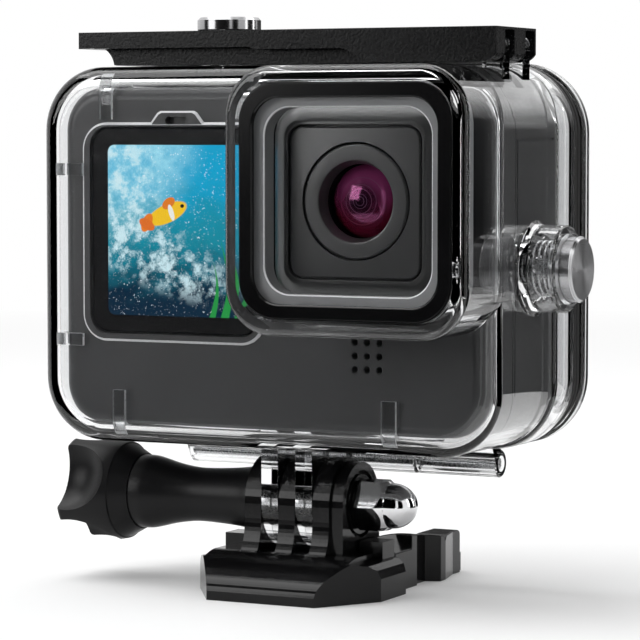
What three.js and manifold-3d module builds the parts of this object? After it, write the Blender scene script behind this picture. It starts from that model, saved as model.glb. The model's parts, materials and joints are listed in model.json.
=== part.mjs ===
// Action camera in a clear dive housing, standing on a three-finger quick-release buckle.
// Millimetres, +Z up. The front faces -Y and the clamp bolt runs along X.
// The origin is on the buckle's underside, below the middle of the clamp bolt.
import * as THREE from "three";
import { mergeVertices } from "three/addons/utils/BufferGeometryUtils.js";
import Module from "manifold-3d";

const wasm = await Module();
wasm.setup();

// Clearances
const GAP = 0.3;
const RUNNING_GAP = 0.35;

// Segments of round forms, and how far a cutting form runs past what it cuts
const ROUND = 28;
const SMALL_ROUND = 16;
const LARGE_ROUND = 32;
const PAST = 1;

// Camera body
const CAMERA_WIDTH = 75.3;
const CAMERA_HEIGHT = 54.6;
const CAMERA_DEPTH = 25.6;
const CAMERA_CORNER = 6.5;
const CAMERA_EDGE = 3.2;
const CAMERA_WALL = 1.6;
const CAMERA_SPLIT = 6.6;
const REAR_WALL = 3;
const SEAM_WIDTH = 0.4;
const SEAM_DEPTH = 0.3;
const SEAM_BACK = 3.1;
const SEAM_DROP = 6.1;

// Space round the camera in the housing
const CAMERA_LEFT_GAP = 1.0;
const CAMERA_RIGHT_GAP = 0.5;
const CAMERA_BOTTOM_GAP = 0.3;
const CAMERA_TOP_GAP = 1.1;
const CAMERA_FRONT_GAP = 0.9;
const CAMERA_REAR_GAP = 2.8;

// Dive housing: a body that holds the camera, and a wider flange that meets the door
const SHELL_FRONT = -15.6;
const HOUSING_CORNER = 9.5;
const HOUSING_WALL = 1.9;
const HOUSING_EDGE = 3.4;
const FLANGE_SIDE = 0.8;
const FLANGE_BELOW = 0.6;
const FLANGE_ABOVE = 2.4;
const FLANGE_DEPTH = 8.2;
const FLANGE_GROOVE = 0.5;
const GASKET_THICKNESS = 2.8;
const GASKET_WIDTH = 2.2;
const GASKET_EDGE = 0.4;
const TONGUE_INSET = 1;
const TONGUE_WIDTH = 1.4;
const TONGUE_DEPTH = 2.2;
const DOOR_THICKNESS = 3.9;
const DOOR_FRAME_WALL = 2.2;
const RIB_WIDTH = 2;
const RIB_REACH = 6.2;
const RIB_BOTTOM_REACH = 7.7;
const RIB_LEFT_REACH = 4.4;
const RIB_SEAT = 0.3;
const RIB_DEPTH = 10;
const RIB_LEFT = 12.2;
const RIB_RIGHT = 18.6;
const RIB_LOW = 16;
const RIB_HIGH = 14.7;

// Lens module
const LENS_FROM_RIGHT = 18.7;
const LENS_FROM_TOP = 16.6;
const LENS_COVER_WIDTH = 27;
const LENS_COVER_HEIGHT = 28;
const LENS_COVER_CORNER = 4.5;
const LENS_COVER_REACH = 8.5;
const LENS_COVER_BEVEL = 2.2;
const LENS_PLATE_CORNER = 2.6;
const LENS_PLATE_THICKNESS = 0.8;
const LENS_RING_RADIUS = 9.1;
const LENS_OPENING_RADIUS = 6.3;
const BARREL_RADIUS = 6.9;
const BARREL_WALL = 0.9;
const BARREL_FLANGE = 1.6;
const BARREL_LEDGE = 1.5;
const BARREL_INSET = 1;
const BARREL_REACH = 10.5;
const BARREL_STEP_BACK = 4;
const LENS_RING_DEPTH = 1.6;
const SENSOR_THICKNESS = 1.6;

// Lens port
const PORT_CORNER = 8;
const PORT_WALL = 2.3;
const PORT_EDGE = 1.4;
const PORT_LEFT_ROOM = 3.1;
const PORT_BOTTOM_ROOM = 4.6;
const PORT_FRONT_ROOM = 1.6;
const PORT_SIDE_RISE = 0.5;
const PORT_TOP_RISE = 1.45;
const PORT_RING_WIDTH = 2.4;
const PORT_RING_DEPTH = 1.5;
const WINDOW_THICKNESS = 1.3;
const BEZEL_WIDTH = 2.1;
const BEZEL_DEPTH = 1.4;

// Screens on the camera
const SCREEN_FROM_LEFT = 2.5;
const SCREEN_FROM_TOP = 5;
const SCREEN_WIDTH = 31;
const SCREEN_HEIGHT = 34.6;
const SCREEN_CORNER = 4;
const SCREEN_THICKNESS = 1.4;
const SCREEN_RIM = 1.1;
const SCREEN_RIM_RISE = 0.25;
const RIM_ROOT = 1;
const DISPLAY_SIDE = 4.4;
const DISPLAY_END = 3.3;
const DISPLAY_RISE = 0.4;
const MIC_WIDTH = 8.4;
const MIC_HEIGHT = 1.4;
const MIC_SLOT_WIDTH = 4.4;
const MIC_SLOT_HEIGHT = 0.7;
const SPEAKER_FROM_RIGHT = 22.7;
const SPEAKER_FROM_BOTTOM = 11.2;
const SPEAKER_PITCH = 2.15;
const SPEAKER_RADIUS = 0.5;
const REAR_SCREEN_SIDE = 9.5;
const REAR_SCREEN_BOTTOM = 10.3;
const REAR_SCREEN_TOP = 6.3;

// What the camera holds
const BATTERY_DEPTH = 10;
const BATTERY_HEIGHT = 33;
const BATTERY_LENGTH = 40;
const BATTERY_DOOR_HEIGHT = 43;
const BATTERY_DOOR_PANEL = 1.5;
const BATTERY_DOOR_DEPTH = 2.6;
const BOARD_WIDTH = 41.5;
const BOARD_THICKNESS = 1;
const BOARD_BACK = 5.4;

// Push buttons
const CAP_RADIUS = 5.25;
const CAP_LENGTH = 4;
const CUP_FOOT = 0.7;
const CUP_FLOOR = 1.0;
const SHUTTER_CUP_WALL = 0.6;
const SHUTTER_CUP_DEPTH = 4.6;
const SHUTTER_PAD = 1.6;
const MODE_CUP_WALL = 1.3;
const MODE_CUP_DEPTH = 5.9;
const STEM_RADIUS = 1.6;
const SPRING_ROOM = 3.4;
const SPRING_RADIUS = 4.3;
const SPRING_WIRE = 0.4;
const SPRING_CURLS = 3;
const SPRING_SEAT_GAP = 0.05;
const SEAL_RADIUS = 0.4;
const SEAL_POCKET = 1.7;
const CLIP_INSET = 0.15;
const CLIP_CLEARANCE = 0.05;
const CLIP_THICKNESS = 0.5;
const CLIP_RADIUS = 2.6;
const STEM_GROOVE = 0.5;
const CAMERA_BUTTON_RADIUS = 4.2;
const SHUTTER_BUTTON_RISE = 0.7;
const MODE_BUTTON_RISE = 0;
const CAMERA_BUTTON_FLANGE = 0.6;
const SHUTTER_FROM_LEFT = 23.2;
const BUTTON_BACK = 12.4;
const MODE_FROM_TOP = 27.4;

// Latch
const LATCH_THICKNESS = 5;
const LATCH_PLATE = 2.3;
const LATCH_THICK_PLATE = 3.4;
const LATCH_LEFT_INSET = 1.8;
const LATCH_RIGHT_INSET = 1.5;
const LATCH_NECK = 4.8;
const LATCH_BLOCK_WIDTH = 8.6;
const LATCH_BLEND = 5.5;
const LATCH_FRONT_INSET = 3.2;
const LATCH_BODY_INSET = 6;
const LATCH_BACK_REACH = 0.1;
const LATCH_PIVOT_DROP = 2.7;
const LATCH_PIN_RADIUS = 0.8;
const LATCH_STEP_FROM_CUP = 4;
const EAR_THICKNESS = 3;
const EAR_RADIUS = 1.7;
const EAR_ROOT = 3.6;
const EAR_FRONT_INSET = 8.6;
const EAR_BACK_INSET = 5.6;

// Door hinge
const DOOR_HINGE_BACK = 1.4;
const DOOR_HINGE_DROP = 4.0;
const KNUCKLE_RADIUS = 2.3;
const DOOR_PIN_RADIUS = 1.0;
const HINGE_LEFT_INSET = 9.8;
const HINGE_RIGHT_INSET = 12.8;
const HINGE_END_LENGTH = 14.8;

// Mount fingers and clamp bolt
const AXIS_Z = 14.8;
const FINGER_RADIUS = 7.5;
const FINGER_THICKNESS = 3.0;
const FINGER_PITCH = 6.2;
const FINGER_SCOOP = 0.5;
const FINGER_FLARE = 1.7;
const FINGER_FLARE_TOP = 12.4;
const BOSS_LENGTH = 2.2;
const BOSS_RADIUS = 6.9;
const BOSS_RECESS_RADIUS = 5.6;
const BOSS_RECESS = 1;
const BOLT_RADIUS = 2.4;
const BOLT_GRIP = 4;
const NUT_FLATS = 8;
const NUT_LENGTH = 5.4;
const NUT_DOME = 4.2;
const NUT_THREAD = 4;
const KNOB_RADIUS = 9.1;
const KNOB_LENGTH = 12.4;
const KNOB_BELOW_HOUSING = 0.7;
const KNOB_PAST_HOUSING = 2.5;
const KNOB_SCOOPS = 4;
const SCOOP_RADIUS = 8.1;
const SCOOP_INSET = 1.8;
const SCOOP_OFFSET = 12.8;
const SCOOP_TURN = Math.PI * 8 / 9;
const SLEEVE_RADIUS = 4.5;
const SLEEVE_FLARE = 5.5;

// Buckle
const NOSE_WIDTH = 19.4;
const NOSE_LENGTH = 15.5;
const NOSE_CHAMFER = 10.5;
const NOSE_HEIGHT = 7.1;
const LIP_HEIGHT = 1.5;
const LEDGE_HEIGHT = 4.2;
const LEDGE_BACK = 2;
const NOSE_SLOPE = 9;
const SHOULDER_HEIGHT = 6.1;
const BUCKLE_WIDTH = 33.2;
const BUCKLE_FRONT = -17;
const SLIDE_WIDTH = 29;
const SLIDE_HEIGHT = 5.8;
const SLIDE_FRONT = -4;
const SLIDE_BACK = 17;
const SPINE_WIDTH = 10;
const SPINE_RISE = 1.6;
const ARM_FRONT = 3;
const ARM_LENGTH = 28.4;
const ARM_WIDTH = 4.2;
const ARM_HEIGHT = 8.9;
const ARM_WAIST = 7.9;
const PAD_HEIGHT = 7.5;
const PAD_LENGTH = 9.4;
const TIP_LENGTH = 2.2;
const TIP_HEIGHT = 3.8;
const CATCH_RISE = 1.6;
const CATCH_LENGTH = 2;
const ARM_ROOT_GAP = 0.4;
const ARM_ROOM = 1.7;

// The camera sets the housing's size, and the housing stands clear of the knob
const HOUSING_WIDTH = 2 * HOUSING_WALL + CAMERA_LEFT_GAP + CAMERA_WIDTH + CAMERA_RIGHT_GAP;
const HOUSING_HEIGHT = 2 * HOUSING_WALL + CAMERA_BOTTOM_GAP + CAMERA_HEIGHT + CAMERA_TOP_GAP;
const HOUSING_BOTTOM = AXIS_Z + KNOB_RADIUS + KNOB_BELOW_HOUSING;
const HOUSING_TOP = HOUSING_BOTTOM + HOUSING_HEIGHT;
const HOUSING_Z = (HOUSING_BOTTOM + HOUSING_TOP) / 2;
const HOUSING_RIGHT = HOUSING_WIDTH / 2;
const FLANGE_TOP = HOUSING_TOP + FLANGE_ABOVE;
const FLANGE_BOTTOM = HOUSING_BOTTOM - FLANGE_BELOW;
const CAMERA_LEFT = -HOUSING_RIGHT + HOUSING_WALL + CAMERA_LEFT_GAP;
const CAMERA_RIGHT = CAMERA_LEFT + CAMERA_WIDTH;
const CAMERA_X = (CAMERA_LEFT + CAMERA_RIGHT) / 2;
const CAMERA_BOTTOM = HOUSING_BOTTOM + HOUSING_WALL + CAMERA_BOTTOM_GAP;
const CAMERA_TOP = CAMERA_BOTTOM + CAMERA_HEIGHT;
const CAMERA_Z = (CAMERA_BOTTOM + CAMERA_TOP) / 2;
const CAMERA_FRONT = SHELL_FRONT + HOUSING_WALL + CAMERA_FRONT_GAP;
const CAMERA_REAR = CAMERA_FRONT + CAMERA_DEPTH;
const COVER_REAR = CAMERA_FRONT + CAMERA_SPLIT;
const SHELL_REAR = CAMERA_REAR + CAMERA_REAR_GAP;
const FLANGE_FRONT = SHELL_REAR - FLANGE_DEPTH;
const GASKET_FRONT = SHELL_REAR + GAP;
const DOOR_FRONT = GASKET_FRONT + GASKET_THICKNESS + GAP;
const DOOR_REAR = DOOR_FRONT + DOOR_THICKNESS;

// Places of the lens module, the screens and the port in front of them
const LENS_X = CAMERA_RIGHT - LENS_FROM_RIGHT;
const LENS_Z = CAMERA_TOP - LENS_FROM_TOP;
const LENS_COVER_FRONT = CAMERA_FRONT - LENS_COVER_REACH;
const LENS_PLATE_WIDTH = LENS_COVER_WIDTH - 2 * LENS_COVER_BEVEL;
const LENS_PLATE_HEIGHT = LENS_COVER_HEIGHT - 2 * LENS_COVER_BEVEL;
const SCREEN_X = CAMERA_LEFT + SCREEN_FROM_LEFT + SCREEN_WIDTH / 2;
const SCREEN_Z = CAMERA_TOP - SCREEN_FROM_TOP - SCREEN_HEIGHT / 2;
const PORT_LEFT = LENS_X - LENS_COVER_WIDTH / 2 - PORT_LEFT_ROOM - PORT_WALL;
const PORT_RIGHT = HOUSING_RIGHT + PORT_SIDE_RISE;
const PORT_BOTTOM = LENS_Z - LENS_COVER_HEIGHT / 2 - PORT_BOTTOM_ROOM - PORT_WALL;
const PORT_TOP = HOUSING_TOP + PORT_TOP_RISE;
const PORT_WIDTH = PORT_RIGHT - PORT_LEFT;
const PORT_HEIGHT = PORT_TOP - PORT_BOTTOM;
const PORT_X = (PORT_LEFT + PORT_RIGHT) / 2;
const PORT_Z = (PORT_BOTTOM + PORT_TOP) / 2;
const BEZEL_FRONT = LENS_COVER_FRONT - PORT_FRONT_ROOM - BEZEL_DEPTH;
const WINDOW_FRONT = BEZEL_FRONT - GAP - WINDOW_THICKNESS;
const PORT_RING_FRONT = WINDOW_FRONT - GAP - PORT_RING_DEPTH;
const PORT_FRONT = PORT_RING_FRONT - GAP;

// Places of the buttons, the latch, the door hinge and the clamp bolt
const BUTTON_Y = CAMERA_FRONT + BUTTON_BACK;
const SHUTTER_X = CAMERA_LEFT + SHUTTER_FROM_LEFT;
const MODE_Z = CAMERA_TOP - MODE_FROM_TOP;
const LATCH_BOTTOM = FLANGE_TOP + GAP;
const LATCH_TOP = LATCH_BOTTOM + LATCH_THICKNESS;
const LATCH_LEFT = -HOUSING_RIGHT + LATCH_LEFT_INSET;
const LATCH_RIGHT = HOUSING_RIGHT - LATCH_RIGHT_INSET;
const LATCH_BODY_LEFT = LATCH_LEFT + LATCH_NECK;
const LATCH_BLOCK_LEFT = LATCH_RIGHT - LATCH_BLOCK_WIDTH;
const LATCH_FRONT = SHELL_FRONT + LATCH_FRONT_INSET;
const LATCH_BODY_FRONT = SHELL_FRONT + LATCH_BODY_INSET;
const LATCH_BACK = DOOR_REAR + LATCH_BACK_REACH;
const LATCH_END_RADIUS = LATCH_THICKNESS - LATCH_PIVOT_DROP;
const LATCH_PIVOT = [LATCH_RIGHT - LATCH_END_RADIUS, 0, LATCH_TOP - LATCH_PIVOT_DROP];
const EAR_PLACES = [SHELL_FRONT + EAR_FRONT_INSET, SHELL_REAR - EAR_BACK_INSET];
const DOOR_HINGE_Y = SHELL_REAR + DOOR_HINGE_BACK;
const DOOR_HINGE_Z = HOUSING_BOTTOM - DOOR_HINGE_DROP;
const HINGE_LEFT = -HOUSING_RIGHT + HINGE_LEFT_INSET;
const HINGE_RIGHT = HOUSING_RIGHT - HINGE_RIGHT_INSET;
const HINGE_JOINT_LEFT = HINGE_LEFT + HINGE_END_LENGTH;
const HINGE_JOINT_RIGHT = HINGE_RIGHT - HINGE_END_LENGTH;
const FINGERS_HALF = FINGER_PITCH + FINGER_THICKNESS / 2;
const NUT_SEAT = FINGERS_HALF + BOSS_LENGTH + GAP;
const NUT_BORE_END = NUT_SEAT + NUT_THREAD;
const KNOB_LEFT = -HOUSING_RIGHT - KNOB_PAST_HOUSING;
const KNOB_RIGHT = -FINGERS_HALF - GAP;
const BOLT_LEFT = KNOB_LEFT + BOLT_GRIP;
const AXIS = [0, 0, AXIS_Z];

// Finishes: colour, roughness, metalness
const FINISH = {
  clear: [0xdfe6ea, 0.08, 0, 0.3],
  black: [0x141414, 0.5, 0],
  gloss: [0x0b0b0c, 0.15, 0],
  rubber: [0x101010, 0.85, 0],
  steel: [0xc9cacc, 0.28, 1],
  chrome: [0xdcdee0, 0.08, 1],
  grey: [0x3c3d3f, 0.4, 0.2],
  bodyGrey: [0x242527, 0.6, 0],
  display: [0x1f9fc9, 0.2, 0],
  coated: [0x7c1f4d, 0.05, 0.1],
  board: [0x1d5a33, 0.6, 0],
  label: [0x5a5d60, 0.5, 0],
};

function finish(name) {
  const [color, roughness, metalness, opacity] = FINISH[name];
  const material = new THREE.MeshStandardMaterial({ color, roughness, metalness });
  if (opacity) {
    material.transparent = true;
    material.opacity = opacity;
  }
  return material;
}

// Closed-mesh helpers
function signedVolume(position, index) {
  const a = new THREE.Vector3();
  const b = new THREE.Vector3();
  const c = new THREE.Vector3();
  let total = 0;
  for (let i = 0; i < index.length; i += 3) {
    a.fromBufferAttribute(position, index[i]);
    b.fromBufferAttribute(position, index[i + 1]);
    c.fromBufferAttribute(position, index[i + 2]);
    total += a.dot(b.cross(c)) / 6;
  }
  return total;
}

function solid(geometry) {
  geometry.deleteAttribute("normal");
  geometry.deleteAttribute("uv");
  const merged = mergeVertices(geometry, 1e-4);
  const position = merged.getAttribute("position");
  const source = merged.getIndex().array;
  const index = [];
  for (let i = 0; i < source.length; i += 3) {
    const [a, b, c] = [source[i], source[i + 1], source[i + 2]];
    if (a !== b && b !== c && c !== a) index.push(a, b, c);
  }
  if (signedVolume(position, index) < 0) index.reverse();
  return new wasm.Manifold(new wasm.Mesh({
    numProp: 3,
    vertProperties: new Float32Array(position.array),
    triVerts: new Uint32Array(index),
  }));
}

function toGeometry(body) {
  const mesh = body.getMesh();
  const geometry = new THREE.BufferGeometry();
  geometry.setAttribute("position", new THREE.BufferAttribute(new Float32Array(mesh.vertProperties), 3));
  geometry.setIndex(new THREE.BufferAttribute(new Uint32Array(mesh.triVerts), 1));
  geometry.computeVertexNormals();
  return geometry;
}

function join(...bodies) {
  return bodies.reduce((whole, body) => whole.add(body));
}

function cut(body, ...tools) {
  return tools.reduce((rest, tool) => rest.subtract(tool), body);
}

// Flat outlines
function roundedRectangle(width, height, radius, x = 0, y = 0) {
  const shape = new THREE.Shape();
  const [w, h] = [width / 2, height / 2];
  const r = Math.min(radius, w, h);
  shape.moveTo(x - w + r, y - h);
  shape.lineTo(x + w - r, y - h);
  shape.absarc(x + w - r, y - h + r, r, -Math.PI / 2, 0);
  shape.lineTo(x + w, y + h - r);
  shape.absarc(x + w - r, y + h - r, r, 0, Math.PI / 2);
  shape.lineTo(x - w + r, y + h);
  shape.absarc(x - w + r, y + h - r, r, Math.PI / 2, Math.PI);
  shape.lineTo(x - w, y - h + r);
  shape.absarc(x - w + r, y - h + r, r, Math.PI, Math.PI * 1.5);
  return shape;
}

function circlePoints(count, radius, x = 0, y = 0) {
  const points = [];
  for (let i = 0; i < count; i++) {
    const angle = (i / count) * Math.PI * 2;
    points.push([x + radius * Math.cos(angle), y + radius * Math.sin(angle)]);
  }
  return points;
}

function polygon(points) {
  return new THREE.Shape(points.map(([x, y]) => new THREE.Vector2(x, y)));
}

// Extrusions along each axis, from one plane to another
function extrude(shape, depth, curveSegments) {
  return new THREE.ExtrudeGeometry(shape, { depth, bevelEnabled: false, curveSegments });
}

function alongZ(shape, z0, z1, curveSegments = 5) {
  return solid(extrude(shape, z1 - z0, curveSegments).translate(0, 0, z0));
}

function alongY(shape, y0, y1, curveSegments = 5) {
  return solid(extrude(shape, y1 - y0, curveSegments).rotateX(Math.PI / 2).translate(0, y1, 0));
}

function alongX(shape, x0, x1, curveSegments = 5) {
  const turn = new THREE.Matrix4().makeBasis(
    new THREE.Vector3(0, 1, 0), new THREE.Vector3(0, 0, 1), new THREE.Vector3(1, 0, 0));
  return solid(extrude(shape, x1 - x0, curveSegments).applyMatrix4(turn).translate(x0, 0, 0));
}

function block(x0, x1, y0, y1, z0, z1) {
  const geometry = new THREE.BoxGeometry(x1 - x0, y1 - y0, z1 - z0);
  return solid(geometry.translate((x0 + x1) / 2, (y0 + y1) / 2, (z0 + z1) / 2));
}

// Turned forms. A profile is a list of [radius, place along the axis].
const AXES = {
  x: (geometry) => geometry.rotateZ(-Math.PI / 2),
  y: (geometry) => geometry,
  z: (geometry) => geometry.rotateX(Math.PI / 2),
};

function turned(axis, profile, [x, y, z], segments = 24) {
  const points = profile.map(([r, h]) => new THREE.Vector2(r, h));
  const geometry = new THREE.LatheGeometry(points, segments);
  return solid(AXES[axis](geometry).translate(x, y, z));
}

function disc(axis, radius, h0, h1, place, segments = 24) {
  return turned(axis, [[0, h0], [radius, h0], [radius, h1], [0, h1]], place, segments);
}

function tube(axis, outer, inner, h0, h1, place, segments = 24) {
  const profile = [[inner, h0], [outer, h0], [outer, h1], [inner, h1], [inner, h0]];
  return turned(axis, profile, place, segments);
}

function ring(axis, radius, section, place, segments = 24) {
  const profile = [];
  const sides = 6;
  for (let i = 0; i < sides; i++) {
    const angle = (i / sides) * Math.PI * 2;
    profile.push([radius + section * Math.cos(angle), section * Math.sin(angle)]);
  }
  profile.push(profile[0]);
  return turned(axis, profile, place, segments);
}

// A loft of rounded rectangles: each level is [place along Y, inset of the outline]
const CORNER_STEPS = 6;

function outlineRing(width, height, radius, x, z) {
  const points = [];
  const corners = [[1, -1], [1, 1], [-1, 1], [-1, -1]];
  corners.forEach(([sx, sz], corner) => {
    for (let i = 0; i <= CORNER_STEPS; i++) {
      const angle = (corner - 1 + i / CORNER_STEPS) * Math.PI / 2;
      points.push([
        x + sx * (width / 2 - radius) + radius * Math.cos(angle),
        z + sz * (height / 2 - radius) + radius * Math.sin(angle),
      ]);
    }
  });
  return points;
}

function loft({ width, height, radius, x, z }, levels) {
  const vertices = [];
  const index = [];
  const count = 4 * (CORNER_STEPS + 1);
  for (const [y, inset] of levels) {
    const r = Math.max(radius - inset, 0.4);
    for (const [px, pz] of outlineRing(width - 2 * inset, height - 2 * inset, r, x, z)) {
      vertices.push(px, y, pz);
    }
  }
  for (let level = 0; level + 1 < levels.length; level++) {
    for (let i = 0; i < count; i++) {
      const [a, b] = [level * count + i, level * count + (i + 1) % count];
      index.push(a, b, b + count, a, b + count, a + count);
    }
  }
  for (const level of [0, levels.length - 1]) {
    const centre = vertices.length / 3;
    vertices.push(x, levels[level][0], z);
    for (let i = 0; i < count; i++) {
      const [a, b] = [level * count + i, level * count + (i + 1) % count];
      if (level === 0) index.push(centre, b, a);
      else index.push(centre, a, b);
    }
  }
  const geometry = new THREE.BufferGeometry();
  geometry.setAttribute("position", new THREE.Float32BufferAttribute(vertices, 3));
  geometry.setIndex(index);
  return solid(geometry);
}

// The same outline drawn in by an inset; its corners shrink by a share of it
function shrink({ width, height, radius, x, z }, inset, share = 1) {
  return { width: width - 2 * inset, height: height - 2 * inset, radius: radius - share * inset, x, z };
}

function flat({ width, height, radius, x, z }) {
  return roundedRectangle(width, height, radius, x, z);
}

// Levels of a front edge rounded by a quarter circle, from y0 back to y1
function roundedFront(y0, y1, edge, steps = 3) {
  const levels = [];
  for (let i = 0; i <= steps; i++) {
    const angle = (i / steps) * Math.PI / 2;
    levels.push([y0 + edge * (1 - Math.cos(angle)), edge * (1 - Math.sin(angle))]);
  }
  levels.push([y1, 0]);
  return levels;
}

// A compression spring: one unbroken wire with straight ends
const SPRING_STEPS = 8;
const WIRE_SIDES = 5;

function springPath(radius, length, curls) {
  const points = [];
  const steps = curls * SPRING_STEPS;
  for (let i = 0; i <= steps; i++) {
    const angle = (i / SPRING_STEPS) * Math.PI * 2;
    points.push(new THREE.Vector3(
      radius * Math.cos(angle), radius * Math.sin(angle), (i / steps) * length));
  }
  return points;
}

class PolylineCurve extends THREE.Curve {
  constructor(points) {
    super();
    this.points = points;
  }

  getPoint(t) {
    const place = Math.min(t, 1) * (this.points.length - 1);
    const i = Math.min(Math.floor(place), this.points.length - 2);
    return this.points[i].clone().lerp(this.points[i + 1], place - i);
  }

  getPointAt(t) {
    return this.getPoint(t);
  }

  getTangent(t) {
    const place = Math.min(t, 1) * (this.points.length - 1);
    const i = Math.round(place);
    const before = this.points[Math.max(i - 1, 0)];
    const after = this.points[Math.min(i + 1, this.points.length - 1)];
    return after.clone().sub(before).normalize();
  }

  getTangentAt(t) {
    return this.getTangent(t);
  }
}

function leastGap(path) {
  let least = Infinity;
  const apart = SPRING_STEPS / 2 + 1;
  for (let i = 0; i < path.length; i++) {
    for (let k = i + apart; k < path.length; k++) {
      least = Math.min(least, path[i].distanceTo(path[k]) - SPRING_WIRE);
    }
  }
  return least;
}

function spring(length) {
  const path = springPath(SPRING_RADIUS, length - SPRING_WIRE, SPRING_CURLS);
  const first = path[0];
  const last = path[path.length - 1];
  const lead = path[1].clone().sub(first).setZ(0).setLength(-SPRING_WIRE).add(first);
  const trail = last.clone().sub(path[path.length - 2]).setZ(0).setLength(SPRING_WIRE).add(last);
  path.unshift(lead);
  path.push(trail);
  console.log(`spring: least gap to itself ${leastGap(path).toFixed(2)} mm`);
  const section = polygon(circlePoints(WIRE_SIDES, SPRING_WIRE / 2));
  const geometry = new THREE.ExtrudeGeometry(section, {
    steps: path.length - 1,
    extrudePath: new PolylineCurve(path),
    bevelEnabled: false,
  });
  return geometry.translate(0, 0, SPRING_WIRE / 2);
}

// Buckle with its three mount fingers
function fingerOutline(bottom, radius, flare = 0) {
  const shape = new THREE.Shape();
  shape.moveTo(-radius - flare, bottom);
  shape.lineTo(radius, bottom);
  shape.lineTo(radius, AXIS_Z);
  shape.absarc(0, AXIS_Z, radius, 0, Math.PI);
  shape.lineTo(-radius, FINGER_FLARE_TOP);
  shape.quadraticCurveTo(-radius, NOSE_HEIGHT + 1.5, -radius - flare, NOSE_HEIGHT - 0.2);
  shape.lineTo(-radius - flare, bottom);
  return shape;
}

function noseBlock() {
  const half = BUCKLE_WIDTH / 2;
  const nose = NOSE_WIDTH / 2;
  const back = BUCKLE_FRONT + NOSE_LENGTH;
  const shoulder = BUCKLE_FRONT + NOSE_CHAMFER;
  const ledge = BUCKLE_FRONT + LEDGE_BACK;
  const slope = BUCKLE_FRONT + NOSE_SLOPE;
  const plan = polygon([
    [-nose, BUCKLE_FRONT], [nose, BUCKLE_FRONT], [half, shoulder],
    [half, ARM_FRONT], [-half, ARM_FRONT], [-half, shoulder],
  ]);
  const side = new THREE.Shape();
  side.moveTo(BUCKLE_FRONT - PAST, 0);
  side.lineTo(ARM_FRONT + PAST, 0);
  side.lineTo(ARM_FRONT + PAST, SHOULDER_HEIGHT);
  side.lineTo(back, SHOULDER_HEIGHT);
  side.lineTo(back, NOSE_HEIGHT);
  side.lineTo(slope, NOSE_HEIGHT);
  side.quadraticCurveTo((slope + ledge) / 2, NOSE_HEIGHT - 0.2, ledge, LEDGE_HEIGHT);
  side.quadraticCurveTo(BUCKLE_FRONT + 0.3, LIP_HEIGHT + 1.6, BUCKLE_FRONT, LIP_HEIGHT);
  side.lineTo(BUCKLE_FRONT - PAST, LIP_HEIGHT);
  const body = alongZ(plan, 0, NOSE_HEIGHT).intersect(alongX(side, -half - PAST, half + PAST, 8));
  return cut(body, shoulderCut(-1), shoulderCut(1));
}

// The nose's top corners fall away over the shoulders
function shoulderCut(sign) {
  const half = BUCKLE_WIDTH / 2;
  const outline = polygon([
    [sign * (half - 3.6), NOSE_HEIGHT + PAST], [sign * (half - 3.6), SHOULDER_HEIGHT + 0.3],
    [sign * (half - 1.4), SHOULDER_HEIGHT - 0.2], [sign * (half - 0.4), SHOULDER_HEIGHT - 1],
    [sign * half, SHOULDER_HEIGHT - 2.4], [sign * (half + PAST), SHOULDER_HEIGHT - 2.4],
    [sign * (half + PAST), NOSE_HEIGHT + PAST],
  ]);
  return alongY(outline, BUCKLE_FRONT - PAST, ARM_FRONT + PAST);
}

function buckleBody() {
  const half = SLIDE_WIDTH / 2;
  const slide = alongZ(roundedRectangle(
    SLIDE_WIDTH, SLIDE_BACK - SLIDE_FRONT, 1.5, 0, (SLIDE_BACK + SLIDE_FRONT) / 2), 0, SLIDE_HEIGHT);
  const spine = alongZ(roundedRectangle(
    SPINE_WIDTH, SLIDE_BACK - PAST, 1, 0, (SLIDE_BACK + PAST) / 2), 0, SLIDE_HEIGHT + SPINE_RISE);
  const fingers = [-FINGER_PITCH, 0, FINGER_PITCH].map((centre) => alongX(
    fingerOutline(1, FINGER_RADIUS, FINGER_FLARE),
    centre - FINGER_THICKNESS / 2, centre + FINGER_THICKNESS / 2, 10));
  const roots = [-1, 1].map((side) => {
    const edges = [side * half, side * (half - ARM_WIDTH)].sort((a, b) => a - b);
    return block(...edges, BUCKLE_FRONT + NOSE_LENGTH, ARM_FRONT, 1, ARM_HEIGHT);
  });
  const bossEnd = NUT_SEAT - GAP;
  const boss = alongX(fingerOutline(1, BOSS_RADIUS), FINGERS_HALF - 0.2, bossEnd, 10);
  const recess = tube(
    "x", BOSS_RECESS_RADIUS, NUT_FLATS / 2 + 0.9, bossEnd - BOSS_RECESS, bossEnd + PAST, AXIS, ROUND);
  const slotInner = half - ARM_WIDTH - ARM_ROOM;
  const slots = [[-half - 3, -slotInner], [slotInner, half + 3]].map(
    ([x0, x1]) => block(x0, x1, ARM_FRONT, SLIDE_BACK + PAST, -PAST, SLIDE_HEIGHT + PAST));
  const bore = disc("x", BOLT_RADIUS + RUNNING_GAP, KNOB_RIGHT, NUT_SEAT, AXIS);
  const slotHalf = (FINGER_PITCH - FINGER_THICKNESS) / 2;
  const scoops = [-1, 1].map((side) => {
    const centre = side * FINGER_PITCH / 2;
    return disc("x", FINGER_RADIUS + FINGER_SCOOP, centre - slotHalf, centre + slotHalf, AXIS, LARGE_ROUND);
  });
  const whole = join(noseBlock(), slide, spine, ...fingers, boss, ...roots);
  return cut(whole, bore, recess, ...scoops, ...slots);
}

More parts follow.
